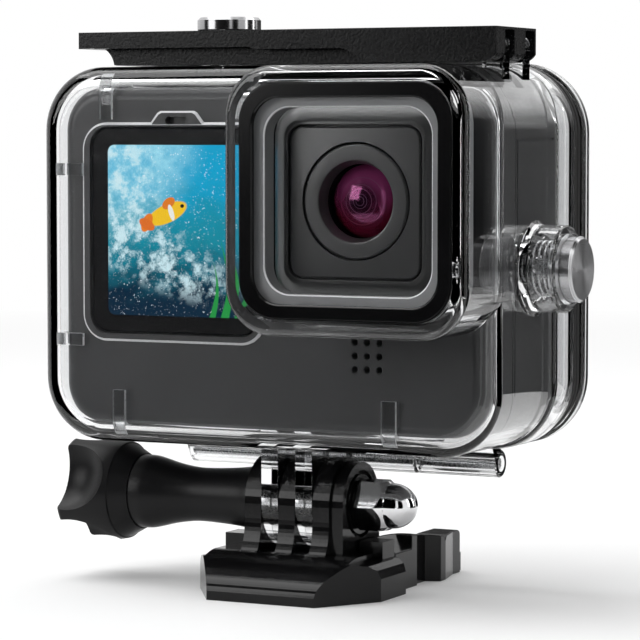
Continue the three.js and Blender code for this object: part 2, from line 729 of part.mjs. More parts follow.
function releaseArm(side) {
  const outer = SLIDE_WIDTH / 2;
  const inner = outer - ARM_WIDTH;
  const front = ARM_FRONT + ARM_ROOT_GAP;
  const back = front + ARM_LENGTH - ARM_ROOT_GAP;
  const padBack = back - TIP_LENGTH;
  const catchFront = SLIDE_BACK + PAST;
  const plan = polygon([
    [inner, front], [outer, front], [outer, catchFront - 6], [outer - 0.8, catchFront - 5],
    [outer - 0.8, catchFront - 1], [outer + CATCH_RISE, catchFront],
    [outer + CATCH_RISE, catchFront + CATCH_LENGTH], [outer + 0.2, padBack - 3],
    [outer + 0.2, padBack], [outer - 0.6, padBack], [outer - 0.6, back],
    [inner + 0.6, back], [inner + 0.6, padBack], [inner, padBack],
  ]);
  const sideView = new THREE.Shape();
  sideView.moveTo(ARM_FRONT, 0);
  sideView.lineTo(back + PAST, 0);
  sideView.lineTo(back + PAST, TIP_HEIGHT - 0.6);
  sideView.lineTo(back, TIP_HEIGHT - 0.6);
  sideView.lineTo(padBack, TIP_HEIGHT);
  sideView.lineTo(padBack, PAD_HEIGHT - 0.9);
  sideView.quadraticCurveTo(padBack - 0.1, PAD_HEIGHT - 0.1, padBack - 1.4, PAD_HEIGHT);
  sideView.lineTo(padBack - PAD_LENGTH + 1.2, PAD_HEIGHT);
  sideView.lineTo(padBack - PAD_LENGTH, PAD_HEIGHT - 0.8);
  sideView.lineTo(padBack - PAD_LENGTH - 0.6, ARM_WAIST - 0.3);
  sideView.quadraticCurveTo((ARM_FRONT + padBack) / 2 - 4, ARM_HEIGHT, ARM_FRONT, ARM_HEIGHT);
  const arm = alongZ(plan, 0, ARM_HEIGHT).intersect(alongX(sideView, inner - PAST, outer + 3, 8));
  return side > 0 ? arm : arm.mirror([1, 0, 0]);
}

// Clamp bolt, knob and nut
function thumbKnob() {
  const neck = KNOB_LEFT + KNOB_LENGTH;
  const collar = KNOB_RADIUS - 0.9;
  const shoulder = KNOB_RADIUS - 2.7;
  const head = turned("x", [
    [0, KNOB_LEFT], [KNOB_RADIUS - 0.5, KNOB_LEFT], [KNOB_RADIUS, KNOB_LEFT + 0.5],
    [KNOB_RADIUS - 0.4, KNOB_LEFT + 5.5], [KNOB_RADIUS - 0.6, neck - 4.4], [collar, neck - 3],
    [collar - 0.25, neck - 2.9], [shoulder, neck], [0, neck],
  ], AXIS, LARGE_ROUND);
  const scoops = [];
  for (let i = 0; i < KNOB_SCOOPS; i++) {
    const angle = SCOOP_TURN + (i / KNOB_SCOOPS) * Math.PI * 2;
    const ball = new THREE.SphereGeometry(SCOOP_RADIUS, 24, 14);
    scoops.push(solid(ball.translate(
      KNOB_LEFT + SCOOP_INSET, SCOOP_OFFSET * Math.cos(angle), AXIS_Z + SCOOP_OFFSET * Math.sin(angle))));
  }
  const sleeve = turned("x", [
    [0, neck - PAST], [shoulder - 0.25, neck - PAST], [shoulder - 0.25, neck + 1.8],
    [SLEEVE_RADIUS + 1.3, neck + 3.6], [SLEEVE_RADIUS + 0.6, neck + 6.4], [SLEEVE_RADIUS + 0.1, neck + 9.6],
    [SLEEVE_RADIUS, neck + 12.4], [SLEEVE_RADIUS + 0.25, KNOB_RIGHT - 5.8],
    [SLEEVE_FLARE - 0.4, KNOB_RIGHT - 2.6], [SLEEVE_FLARE, KNOB_RIGHT - 0.8],
    [SLEEVE_FLARE, KNOB_RIGHT], [0, KNOB_RIGHT],
  ], AXIS, ROUND);
  const bore = disc("x", BOLT_RADIUS + GAP, BOLT_LEFT, KNOB_RIGHT + PAST, AXIS);
  return cut(join(head, sleeve), bore, ...scoops);
}

function clampBolt() {
  return disc("x", BOLT_RADIUS, BOLT_LEFT + GAP, NUT_BORE_END, AXIS);
}

function acornNut() {
  const domeRadius = NUT_FLATS / 2 - 0.3;
  const domeStart = NUT_SEAT + NUT_LENGTH;
  const hex = circlePoints(6, NUT_FLATS / 2 / Math.cos(Math.PI / 6), 0, AXIS_Z);
  const prism = alongX(polygon(hex), NUT_SEAT, domeStart);
  const crown = turned("x", [
    [0, NUT_SEAT], [NUT_FLATS / 2 + 0.1, NUT_SEAT], [NUT_FLATS / 2 + 0.7, NUT_SEAT + 0.6],
    [NUT_FLATS / 2 + 0.7, domeStart - 1.6], [NUT_FLATS / 2 - 0.4, domeStart], [0, domeStart],
  ], AXIS, LARGE_ROUND);
  const profile = [[0, NUT_SEAT + 1], [domeRadius, NUT_SEAT + 1]];
  const steps = 7;
  for (let i = 0; i < steps; i++) {
    const angle = (i / steps) * Math.PI / 2;
    profile.push([domeRadius * Math.cos(angle), domeStart + NUT_DOME * Math.sin(angle)]);
  }
  profile.push([0, domeStart + NUT_DOME]);
  const dome = turned("x", profile, AXIS, ROUND);
  const bore = disc("x", BOLT_RADIUS + GAP, NUT_SEAT - PAST, NUT_BORE_END + GAP, AXIS);
  return cut(join(prism.intersect(crown), dome), bore);
}

// Outlines of the clear housing
const HOUSING_OUTLINE = {
  width: HOUSING_WIDTH, height: HOUSING_HEIGHT, radius: HOUSING_CORNER, x: 0, z: HOUSING_Z,
};
const FLANGE_OUTLINE = {
  width: HOUSING_WIDTH + 2 * FLANGE_SIDE, height: FLANGE_TOP - FLANGE_BOTTOM,
  radius: HOUSING_CORNER + 1, x: 0, z: (FLANGE_TOP + FLANGE_BOTTOM) / 2,
};
const CAVITY_OUTLINE = shrink(HOUSING_OUTLINE, HOUSING_WALL);
const CAVITY_EDGE = HOUSING_EDGE - HOUSING_WALL + 0.4;
const PORT_OUTLINE = { width: PORT_WIDTH, height: PORT_HEIGHT, radius: PORT_CORNER, x: PORT_X, z: PORT_Z };
const CAMERA_OUTLINE = {
  width: CAMERA_WIDTH, height: CAMERA_HEIGHT, radius: CAMERA_CORNER, x: CAMERA_X, z: CAMERA_Z,
};
const CAMERA_INSIDE = shrink(CAMERA_OUTLINE, CAMERA_WALL);
const SCREEN_OUTLINE = {
  width: SCREEN_WIDTH, height: SCREEN_HEIGHT, radius: SCREEN_CORNER, x: SCREEN_X, z: SCREEN_Z,
};
const RIM_OUTLINE = shrink(SCREEN_OUTLINE, -GAP - SCREEN_RIM);
const RIM_FRONT = CAMERA_FRONT - SCREEN_RIM_RISE;

function portShape(inset) {
  return flat(shrink(PORT_OUTLINE, inset, 0.8));
}

// The two push buttons: axis, place on the outer face, wall behind it and clear cup round it
const SHUTTER = {
  axis: "z", place: [SHUTTER_X, BUTTON_Y, HOUSING_TOP + SHUTTER_PAD], wall: HOUSING_WALL + SHUTTER_PAD,
  cupRadius: CAP_RADIUS + RUNNING_GAP + SHUTTER_CUP_WALL, cupDepth: SHUTTER_CUP_DEPTH,
};
const MODE = {
  axis: "x", place: [HOUSING_RIGHT, BUTTON_Y, MODE_Z], wall: HOUSING_WALL,
  cupRadius: CAP_RADIUS + RUNNING_GAP + MODE_CUP_WALL, cupDepth: MODE_CUP_DEPTH,
};

function buttonCup({ axis, place, wall, cupRadius, cupDepth }) {
  const root = 0.5 - wall;
  return turned(axis, [
    [0, root], [cupRadius + CUP_FOOT, root], [cupRadius + CUP_FOOT, 0.6], [cupRadius, 1.4],
    [cupRadius, cupDepth - 0.3], [cupRadius - 0.3, cupDepth], [0, cupDepth],
  ], place, LARGE_ROUND);
}

function buttonBore({ axis, place, wall, cupDepth }) {
  const sleeve = CAP_RADIUS + RUNNING_GAP;
  const pocket = CLIP_RADIUS + RUNNING_GAP;
  const stem = STEM_RADIUS + RUNNING_GAP;
  return turned(axis, [
    [0, -wall - PAST], [pocket, -wall - PAST], [pocket, SEAL_POCKET - wall], [stem, SEAL_POCKET - wall],
    [stem, CUP_FLOOR], [sleeve, CUP_FLOOR], [sleeve, cupDepth + PAST], [0, cupDepth + PAST],
  ], place, LARGE_ROUND);
}

// Clear front shell
function latchEar(y) {
  const [x, , z] = LATCH_PIVOT;
  const shape = new THREE.Shape();
  shape.moveTo(x - EAR_RADIUS, FLANGE_TOP - EAR_ROOT);
  shape.lineTo(x + EAR_RADIUS, FLANGE_TOP - EAR_ROOT);
  shape.lineTo(x + EAR_RADIUS, z);
  shape.absarc(x, z, EAR_RADIUS, 0, Math.PI);
  shape.lineTo(x - EAR_RADIUS, FLANGE_TOP - EAR_ROOT);
  return alongY(shape, y - EAR_THICKNESS / 2, y + EAR_THICKNESS / 2, 8);
}

function knuckle(x0, x1) {
  return disc("x", KNUCKLE_RADIUS, x0, x1, [0, DOOR_HINGE_Y, DOOR_HINGE_Z]);
}

function shellKnuckle(x0, x1) {
  const web = polygon([
    [DOOR_HINGE_Y - KNUCKLE_RADIUS - 2.5, HOUSING_BOTTOM + 1],
    [DOOR_HINGE_Y - KNUCKLE_RADIUS, DOOR_HINGE_Z], [DOOR_HINGE_Y, DOOR_HINGE_Z - 0.5],
    [DOOR_HINGE_Y + 0.2, DOOR_HINGE_Z + KNUCKLE_RADIUS - 0.4], [SHELL_REAR - 0.6, HOUSING_BOTTOM + 1],
  ]);
  return join(knuckle(x0, x1), alongX(web, x0, x1));
}

function doorPinBore() {
  return disc(
    "x", DOOR_PIN_RADIUS + RUNNING_GAP, HINGE_LEFT - PAST, HINGE_RIGHT + PAST,
    [0, DOOR_HINGE_Y, DOOR_HINGE_Z], SMALL_ROUND);
}

function latchPinBore() {
  return disc(
    "y", LATCH_PIN_RADIUS + RUNNING_GAP, LATCH_FRONT - PAST, LATCH_BACK + PAST, LATCH_PIVOT, SMALL_ROUND);
}

function mountFinger(side) {
  const centre = side * FINGER_PITCH / 2;
  const outline = new THREE.Shape();
  outline.absarc(0, AXIS_Z, FINGER_RADIUS, Math.PI, 2 * Math.PI);
  outline.lineTo(FINGER_RADIUS, HOUSING_BOTTOM + 1);
  outline.lineTo(-FINGER_RADIUS, HOUSING_BOTTOM + 1);
  return alongX(outline, centre - FINGER_THICKNESS / 2, centre + FINGER_THICKNESS / 2, 12);
}

// Ribs that wrap the inside of the shell's front edge and hold the camera
function cornerRibs() {
  const bed = loft(
    shrink(HOUSING_OUTLINE, HOUSING_WALL - RIB_SEAT),
    roundedFront(SHELL_FRONT + HOUSING_WALL - RIB_SEAT, SHELL_REAR, CAVITY_EDGE, 4));
  const camera = loft(
    shrink(CAMERA_OUTLINE, -GAP), roundedFront(CAMERA_FRONT - GAP, CAMERA_REAR, CAMERA_EDGE, 5));
  const rim = loft(
    shrink(RIM_OUTLINE, -GAP), [[RIM_FRONT - GAP, 0], [CAMERA_FRONT + RIM_ROOT + GAP, 0]]);
  const middle = block(
    -HOUSING_RIGHT + RIB_LEFT_REACH, HOUSING_RIGHT, SHELL_FRONT - PAST, CAMERA_FRONT + PAST,
    HOUSING_BOTTOM + RIB_BOTTOM_REACH, HOUSING_TOP - RIB_REACH);
  const [y0, y1] = [SHELL_FRONT, SHELL_FRONT + RIB_DEPTH];
  const [left, right] = [-HOUSING_RIGHT + RIB_LEFT, HOUSING_RIGHT - RIB_RIGHT];
  const slabs = [
    block(left, left + RIB_WIDTH, y0, y1, HOUSING_BOTTOM, HOUSING_Z),
    block(right - RIB_WIDTH, right, y0, y1, HOUSING_BOTTOM, HOUSING_Z),
    block(left - RIB_WIDTH, left, y0, y1, HOUSING_Z, HOUSING_TOP),
    block(-HOUSING_RIGHT, -PAST, y0, y1, HOUSING_BOTTOM + RIB_LOW, HOUSING_BOTTOM + RIB_LOW + RIB_WIDTH),
    block(-HOUSING_RIGHT, -PAST, y0, y1, HOUSING_TOP - RIB_HIGH - RIB_WIDTH, HOUSING_TOP - RIB_HIGH),
  ];
  return slabs.map((slab) => cut(slab.intersect(bed), camera, rim, middle));
}

function frontShell() {
  const outer = loft(HOUSING_OUTLINE, roundedFront(SHELL_FRONT, SHELL_REAR, HOUSING_EDGE, 5));
  const cavityFront = SHELL_FRONT + HOUSING_WALL;
  const cavity = loft(CAVITY_OUTLINE, roundedFront(cavityFront, SHELL_REAR + PAST, CAVITY_EDGE, 4));
  const flange = loft(FLANGE_OUTLINE, [
    [FLANGE_FRONT, FLANGE_GROOVE], [FLANGE_FRONT + FLANGE_GROOVE, 0],
    [SHELL_REAR - 2 * FLANGE_GROOVE, 0], [SHELL_REAR, FLANGE_GROOVE],
  ]);
  const port = loft(PORT_OUTLINE, roundedFront(PORT_FRONT, FLANGE_FRONT + 0.2, PORT_EDGE, 4));
  const portHollow = alongY(portShape(PORT_WALL), PORT_FRONT - PAST, cavityFront + 0.1, 6);
  const knuckles = [
    shellKnuckle(HINGE_LEFT, HINGE_JOINT_LEFT - GAP / 2),
    shellKnuckle(HINGE_JOINT_RIGHT + GAP / 2, HINGE_RIGHT),
  ];
  const solidParts = join(
    outer, flange, port, buttonCup(SHUTTER), buttonCup(MODE), ...EAR_PLACES.map(latchEar),
    mountFinger(-1), mountFinger(1), ...knuckles);
  const hollowed = join(cut(solidParts, cavity), ...cornerRibs());
  const bolt = disc("x", BOLT_RADIUS + RUNNING_GAP, KNOB_RIGHT, NUT_SEAT, AXIS);
  return cut(
    hollowed, portHollow, buttonBore(SHUTTER), buttonBore(MODE), latchPinBore(), doorPinBore(), bolt);
}

// Ring, window and bezel in the lens port
function portRing() {
  const shape = portShape(PORT_WALL + GAP);
  shape.holes.push(portShape(PORT_WALL + GAP + PORT_RING_WIDTH));
  return alongY(shape, PORT_RING_FRONT, PORT_RING_FRONT + PORT_RING_DEPTH, 6);
}

function portWindow() {
  return alongY(portShape(PORT_WALL + GAP), WINDOW_FRONT, WINDOW_FRONT + WINDOW_THICKNESS, 6);
}

function portBezel() {
  const shape = portShape(PORT_WALL + GAP);
  shape.holes.push(portShape(PORT_WALL + GAP + PORT_RING_WIDTH + BEZEL_WIDTH));
  return alongY(shape, BEZEL_FRONT, BEZEL_FRONT + BEZEL_DEPTH, 6);
}

// Rear door
function doorKnuckle() {
  const x0 = HINGE_JOINT_LEFT + GAP / 2;
  const x1 = HINGE_JOINT_RIGHT - GAP / 2;
  const web = polygon([
    [DOOR_HINGE_Y + 0.4, DOOR_HINGE_Z + 1.2], [DOOR_HINGE_Y + 0.6, DOOR_HINGE_Z - 1.6],
    [DOOR_REAR - 0.8, HOUSING_BOTTOM + 1], [DOOR_FRONT + 0.3, HOUSING_BOTTOM + 1],
  ]);
  return join(knuckle(x0, x1), alongX(web, x0, x1));
}

function rearDoor() {
  const panel = loft(FLANGE_OUTLINE, [
    [DOOR_FRONT, 0.3], [DOOR_FRONT + 0.3, 0], [DOOR_REAR - 1.8, 0], [DOOR_REAR - 1, 0.3],
    [DOOR_REAR - 0.3, 1], [DOOR_REAR, 1.8],
  ]);
  const frame = shrink(HOUSING_OUTLINE, HOUSING_WALL + GASKET_WIDTH / 2);
  const frameFront = CAMERA_REAR + GAP;
  const innerFrame = loft(frame, [[frameFront, 0.6], [frameFront + 0.6, 0], [DOOR_FRONT + 0.5, 0]]);
  const frameHollow = loft(frame, [[frameFront - PAST, DOOR_FRAME_WALL], [DOOR_FRONT, DOOR_FRAME_WALL]]);
  const groove = alongY(
    bandShape(TONGUE_INSET - GAP, TONGUE_WIDTH + 2 * GAP), DOOR_FRONT - PAST,
    DOOR_FRONT + TONGUE_DEPTH + GAP, 6);
  return cut(join(panel, cut(innerFrame, frameHollow), doorKnuckle()), groove, doorPinBore());
}

function bandShape(inset, width) {
  const shape = flat(shrink(FLANGE_OUTLINE, inset));
  shape.holes.push(flat(shrink(FLANGE_OUTLINE, inset + width)));
  return shape;
}

// The seal's tongue sits in a groove of the door
function doorGasket() {
  const rear = GASKET_FRONT + GASKET_THICKNESS;
  return join(
    alongY(bandShape(GASKET_EDGE, GASKET_WIDTH), GASKET_FRONT, rear, 6),
    alongY(bandShape(TONGUE_INSET, TONGUE_WIDTH), rear - PAST, rear + GAP + TONGUE_DEPTH, 6));
}

function doorPin() {
  const inset = 0.4;
  return disc(
    "x", DOOR_PIN_RADIUS, HINGE_LEFT + inset, HINGE_RIGHT - inset,
    [0, DOOR_HINGE_Y, DOOR_HINGE_Z], SMALL_ROUND);
}

// Latch on top of the housing
function latchProfile() {
  const [px, , pz] = LATCH_PIVOT;
  const tip = LATCH_PLATE / 2;
  const under = LATCH_TOP - LATCH_PLATE;
  const corner = 1;
  const shape = new THREE.Shape();
  shape.moveTo(LATCH_BODY_LEFT, LATCH_BOTTOM);
  shape.lineTo(px, LATCH_BOTTOM);
  shape.absarc(px, pz, LATCH_END_RADIUS, -Math.PI / 2, 0);
  shape.lineTo(LATCH_RIGHT, LATCH_TOP - corner);
  shape.absarc(LATCH_RIGHT - corner, LATCH_TOP - corner, corner, 0, Math.PI / 2);
  shape.lineTo(LATCH_LEFT + tip, LATCH_TOP);
  shape.absarc(LATCH_LEFT + tip, LATCH_TOP - tip, tip, Math.PI / 2, Math.PI * 1.5);
  shape.lineTo(LATCH_BODY_LEFT - 3, under);
  shape.quadraticCurveTo(LATCH_BODY_LEFT - 0.6, under - 0.4, LATCH_BODY_LEFT, LATCH_BOTTOM);
  return shape;
}

function latchLever() {
  const whole = alongY(latchProfile(), LATCH_FRONT, LATCH_BACK, 8);
  const [left, front, bottom] = [LATCH_LEFT - PAST, LATCH_FRONT - PAST, LATCH_BOTTOM - PAST];
  const ceiling = LATCH_TOP - LATCH_THICK_PLATE;
  const blend = LATCH_BLOCK_LEFT - LATCH_BLEND;
  const hollow = polygon([
    [blend, ceiling], [left, ceiling], [left, bottom], [LATCH_BLOCK_LEFT, bottom],
    [LATCH_BLOCK_LEFT, LATCH_BOTTOM],
  ]);
  const middle = (blend + LATCH_BLOCK_LEFT) / 2;
  hollow.bezierCurveTo(middle, LATCH_BOTTOM, middle, ceiling, blend, ceiling);
  const undercut = alongY(hollow, front, LATCH_BODY_FRONT, 8);
  const step = SHUTTER_X + SHUTTER.cupRadius + LATCH_STEP_FROM_CUP;
  const thinFront = alongY(polygon([
    [left, bottom], [step + LATCH_THICK_PLATE, bottom], [step, LATCH_TOP - LATCH_PLATE],
    [left, LATCH_TOP - LATCH_PLATE],
  ]), front, LATCH_BODY_FRONT);
  const hole = disc(
    "z", SHUTTER.cupRadius + CUP_FOOT + GAP, bottom, LATCH_TOP + PAST,
    [SHUTTER_X, BUTTON_Y, 0], LARGE_ROUND);
  const [px, , pz] = LATCH_PIVOT;
  const slots = EAR_PLACES.map((y) => {
    const half = EAR_THICKNESS / 2 + RUNNING_GAP;
    const radius = EAR_RADIUS + RUNNING_GAP;
    const shape = new THREE.Shape();
    shape.moveTo(px - radius, bottom);
    shape.lineTo(LATCH_RIGHT + PAST, bottom);
    shape.lineTo(LATCH_RIGHT + PAST, pz + radius);
    shape.lineTo(px, pz + radius);
    shape.absarc(px, pz, radius, Math.PI / 2, Math.PI);
    shape.lineTo(px - radius, bottom);
    return alongY(shape, y - half, y + half, 8);
  });
  return cut(whole, undercut, thinFront, hole, latchPinBore(), ...slots);
}

function latchPin() {
  return disc("y", LATCH_PIN_RADIUS, LATCH_FRONT + 1, LATCH_BACK - 3, LATCH_PIVOT, SMALL_ROUND);
}

// Push buttons through the housing wall
const STEM_GROOVE_RADIUS = STEM_RADIUS - STEM_GROOVE;
const CAP_START = CUP_FLOOR + SPRING_ROOM;

function buttonCap({ axis, place }) {
  const end = CAP_START + CAP_LENGTH;
  return turned(axis, [
    [0, CAP_START], [CAP_RADIUS - 0.3, CAP_START], [CAP_RADIUS, CAP_START + 0.3],
    [CAP_RADIUS, end - 0.5], [CAP_RADIUS - 0.5, end], [0, end],
  ], place, LARGE_ROUND);
}

function buttonStem({ axis, place, wall }, end) {
  const start = CAP_START - GAP;
  const low = CLIP_INSET - CLIP_CLEARANCE - wall;
  const high = CLIP_INSET + CLIP_THICKNESS + CLIP_CLEARANCE - wall;
  return turned(axis, [
    [0, end], [STEM_RADIUS, end], [STEM_RADIUS, low], [STEM_GROOVE_RADIUS, low],
    [STEM_GROOVE_RADIUS, high], [STEM_RADIUS, high], [STEM_RADIUS, start], [0, start],
  ], place, SMALL_ROUND);
}

function buttonSpring({ axis, place: [x, y, z] }) {
  const geometry = spring(SPRING_ROOM - 2 * SPRING_SEAT_GAP);
  const offset = CUP_FLOOR + SPRING_SEAT_GAP;
  if (axis === "x") geometry.rotateY(Math.PI / 2).translate(x + offset, y, z);
  else geometry.translate(x, y, z + offset);
  return solid(geometry);
}

function buttonSeal({ axis, place: [x, y, z], wall }) {
  const h = SEAL_POCKET - wall - SEAL_RADIUS - 0.05;
  const centre = axis === "x" ? [x + h, y, z] : [x, y, z + h];
  return ring(axis, STEM_RADIUS + 0.1 + SEAL_RADIUS, SEAL_RADIUS, centre, SMALL_ROUND);
}

function stemClip({ axis, place, wall }) {
  const start = CLIP_INSET - wall;
  const inner = STEM_GROOVE_RADIUS + 2 * CLIP_CLEARANCE;
  return tube(axis, CLIP_RADIUS, inner, start, start + CLIP_THICKNESS, place, SMALL_ROUND);
}

// Camera body in two halves
const BATTERY_Y = CAMERA_REAR - REAR_WALL - GAP - BATTERY_DEPTH / 2;

function batteryDoorOutline(inset) {
  return roundedRectangle(
    BATTERY_DEPTH - 2 * inset, BATTERY_DOOR_HEIGHT - 2 * inset, 1.7 - inset, BATTERY_Y, CAMERA_Z);
}

function speakerHoles() {
  const holes = [];
  const rows = 3;
  const end = CAMERA_FRONT + CAMERA_WALL - 0.5;
  for (let i = 0; i < rows * rows; i++) {
    const x = CAMERA_RIGHT - SPEAKER_FROM_RIGHT + (i % rows) * SPEAKER_PITCH;
    const z = CAMERA_BOTTOM + SPEAKER_FROM_BOTTOM + Math.floor(i / rows) * SPEAKER_PITCH;
    holes.push(disc("y", SPEAKER_RADIUS, CAMERA_FRONT - PAST, end, [x, 0, z], 8));
  }
  return holes;
}

function cameraFrontCover() {
  const body = loft(CAMERA_OUTLINE, roundedFront(CAMERA_FRONT, COVER_REAR, CAMERA_EDGE, 5));
  const inside = loft(CAMERA_INSIDE, roundedFront(CAMERA_FRONT + CAMERA_WALL, COVER_REAR + PAST, 1.6, 2));
  const rim = loft(
    RIM_OUTLINE, [[RIM_FRONT, SCREEN_RIM_RISE], [CAMERA_FRONT, 0], [CAMERA_FRONT + RIM_ROOT, 0]]);
  const micBase = SCREEN_Z + RIM_OUTLINE.height / 2;
  const half = MIC_WIDTH / 2;
  const mic = alongY(polygon([
    [SCREEN_X - half - MIC_HEIGHT, micBase - 0.5], [SCREEN_X + half + MIC_HEIGHT, micBase - 0.5],
    [SCREEN_X + half + MIC_HEIGHT, micBase], [SCREEN_X + half, micBase + MIC_HEIGHT],
    [SCREEN_X - half, micBase + MIC_HEIGHT], [SCREEN_X - half - MIC_HEIGHT, micBase],
  ]), RIM_FRONT, CAMERA_FRONT + RIM_ROOT);
  const micSlot = alongY(
    roundedRectangle(MIC_SLOT_WIDTH, MIC_SLOT_HEIGHT, MIC_SLOT_HEIGHT / 2, SCREEN_X, micBase + 0.2),
    RIM_FRONT - PAST, CAMERA_FRONT + 0.8);
  const wellFloor = CAMERA_FRONT + SCREEN_THICKNESS + GAP;
  const well = alongY(flat(shrink(SCREEN_OUTLINE, -GAP)), RIM_FRONT - PAST, wellFloor);
  const tray = alongY(flat(shrink(SCREEN_OUTLINE, 1)), CAMERA_FRONT, CAMERA_FRONT + 3);
  const lens = alongY(
    roundedRectangle(LENS_COVER_WIDTH - 3, LENS_COVER_HEIGHT - 4, LENS_COVER_CORNER, LENS_X, LENS_Z),
    CAMERA_FRONT - PAST, CAMERA_FRONT + 4);
  return cut(join(body, rim, mic), inside, well, tray, lens, micSlot, ...speakerHoles());
}

// Seam of the side panel on the camera's right side
function sideSeam() {
  const [x0, x1] = [CAMERA_RIGHT - SEAM_DEPTH, CAMERA_RIGHT + PAST];
  const y = CAMERA_FRONT + SEAM_BACK;
  const z = CAMERA_TOP - SEAM_DROP;
  return join(
    block(x0, x1, y, y + SEAM_WIDTH, CAMERA_BOTTOM + CAMERA_CORNER, z),
    block(x0, x1, y, CAMERA_REAR - CAMERA_EDGE, z - SEAM_WIDTH, z));
}

function cameraRearCase() {
  const front = COVER_REAR + GAP;
  const outer = loft(CAMERA_OUTLINE, [
    [front, 0], [CAMERA_REAR - 2.6, 0], [CAMERA_REAR - 1.4, 0.3], [CAMERA_REAR - 0.4, 1.2],
    [CAMERA_REAR, 2.6],
  ]);
  const inside = loft(CAMERA_INSIDE, [[front - PAST, 0], [CAMERA_REAR - REAR_WALL, 0]]);
  const screen = alongY(rearScreenShape(-GAP), CAMERA_REAR - SCREEN_THICKNESS - GAP, CAMERA_REAR + PAST);
  const bore = CAMERA_BUTTON_RADIUS + RUNNING_GAP;
  const shutter = disc("z", bore, CAMERA_TOP - 4, CAMERA_TOP + PAST, [SHUTTER_X, BUTTON_Y, 0]);
  const mode = disc("x", bore, CAMERA_RIGHT - 4, CAMERA_RIGHT + PAST, [0, BUTTON_Y, MODE_Z]);
  const doorHole = alongX(batteryDoorOutline(-GAP), CAMERA_LEFT - PAST, CAMERA_LEFT + 3);
  return cut(outer, inside, screen, shutter, mode, doorHole, sideSeam());
}

// Lens module: cover frame, plate, ring, barrel, glasses and image sensor
function lensCover() {
  const outline = {
    width: LENS_COVER_WIDTH, height: LENS_COVER_HEIGHT, radius: LENS_COVER_CORNER, x: LENS_X, z: LENS_Z,
  };
  const frame = loft(outline, [
    [LENS_COVER_FRONT, LENS_COVER_BEVEL - 0.4], [LENS_COVER_FRONT + 0.9, 0.5],
    [LENS_COVER_FRONT + 1.3, 0.15], [LENS_COVER_FRONT + 1.9, 0], [CAMERA_FRONT - GAP, 0],
  ]);
  const seat = alongY(
    roundedRectangle(LENS_PLATE_WIDTH, LENS_PLATE_HEIGHT, LENS_PLATE_CORNER, LENS_X, LENS_Z),
    LENS_COVER_FRONT - PAST, LENS_COVER_FRONT + LENS_PLATE_THICKNESS + 0.4);
  const bore = disc(
    "y", LENS_RING_RADIUS, LENS_COVER_FRONT - PAST, CAMERA_FRONT + PAST, [LENS_X, 0, LENS_Z], LARGE_ROUND);
  return cut(frame, seat, bore);
}

function lensPlate() {
  const shape = roundedRectangle(
    LENS_PLATE_WIDTH - 2 * GAP, LENS_PLATE_HEIGHT - 2 * GAP, LENS_PLATE_CORNER - GAP, LENS_X, LENS_Z);
  const hole = new THREE.Path();
  hole.absarc(LENS_X, LENS_Z, LENS_RING_RADIUS + GAP / 2, 0, Math.PI * 2);
  shape.holes.push(hole);
  const front = LENS_COVER_FRONT + 0.1;
  return alongY(shape, front, front + LENS_PLATE_THICKNESS, 9);
}

const BARREL_FRONT = LENS_COVER_FRONT + LENS_RING_DEPTH + BARREL_INSET;
const BARREL_REAR = CAMERA_FRONT + BARREL_REACH;
const BARREL_STEP = CAMERA_FRONT + BARREL_STEP_BACK;
const BARREL_THROAT = BARREL_RADIUS - BARREL_WALL - BARREL_LEDGE;

function lensRing() {
  const front = LENS_COVER_FRONT;
  const outer = LENS_RING_RADIUS - GAP / 2;
  const groove = (LENS_OPENING_RADIUS + outer) / 2 + 0.5;
  return turned("y", [
    [LENS_OPENING_RADIUS, front + 0.3], [LENS_OPENING_RADIUS + 0.3, front], [groove - 0.25, front],
    [groove - 0.25, front + 0.35], [groove + 0.25, front + 0.35], [groove + 0.25, front],
    [outer - 0.2, front], [outer, front + 0.3], [outer, front + LENS_RING_DEPTH],
    [BARREL_RADIUS, front + LENS_RING_DEPTH], [BARREL_RADIUS, front + 1.2],
    [LENS_OPENING_RADIUS - 0.5, front + LENS_RING_DEPTH + 0.6], [LENS_OPENING_RADIUS, front + 0.3],
  ], [LENS_X, 0, LENS_Z], LARGE_ROUND);
}

function lensBarrel() {
  const inner = BARREL_RADIUS - BARREL_WALL;
  return turned("y", [
    [inner, BARREL_FRONT], [BARREL_RADIUS, BARREL_FRONT], [BARREL_RADIUS, BARREL_STEP],
    [BARREL_RADIUS + BARREL_FLANGE, BARREL_STEP], [BARREL_RADIUS + BARREL_FLANGE, BARREL_REAR],
    [BARREL_THROAT, BARREL_REAR], [BARREL_THROAT, BARREL_STEP - 1], [inner, BARREL_STEP - 1],
    [inner, BARREL_FRONT],
  ], [LENS_X, 0, LENS_Z], ROUND);
}

function domedLens(radius, rim, crown, thickness) {
  const profile = [[0, rim - crown]];
  const steps = 6;
  for (let i = 1; i <= steps; i++) {
    const r = (i / steps) * radius;
    profile.push([r, rim - crown * (1 - (r / radius) ** 2)]);
  }
  profile.push([radius, rim + thickness], [0, rim + thickness]);
  return turned("y", profile, [LENS_X, 0, LENS_Z], ROUND);
}

function frontLens() {
  return domedLens(BARREL_RADIUS - BARREL_WALL - GAP, BARREL_FRONT + 1.6, 1.8, 0.8);
}

function rearLens() {
  return domedLens(BARREL_THROAT - GAP, BARREL_STEP + 2, 1.2, 1.0);
}

function imageSensor() {
  const [halfWidth, halfHeight] = [5, 4];
  const front = BARREL_REAR + GAP;
  return block(
    LENS_X - halfWidth, LENS_X + halfWidth, front, front + SENSOR_THICKNESS,
    LENS_Z - halfHeight, LENS_Z + halfHeight);
}

// Screens
function displayShape(inset) {
  return roundedRectangle(
    SCREEN_WIDTH - 2 * (DISPLAY_SIDE + inset), SCREEN_HEIGHT - 2 * (DISPLAY_END + inset), 1.2,
    SCREEN_X, SCREEN_Z + DISPLAY_RISE);
}

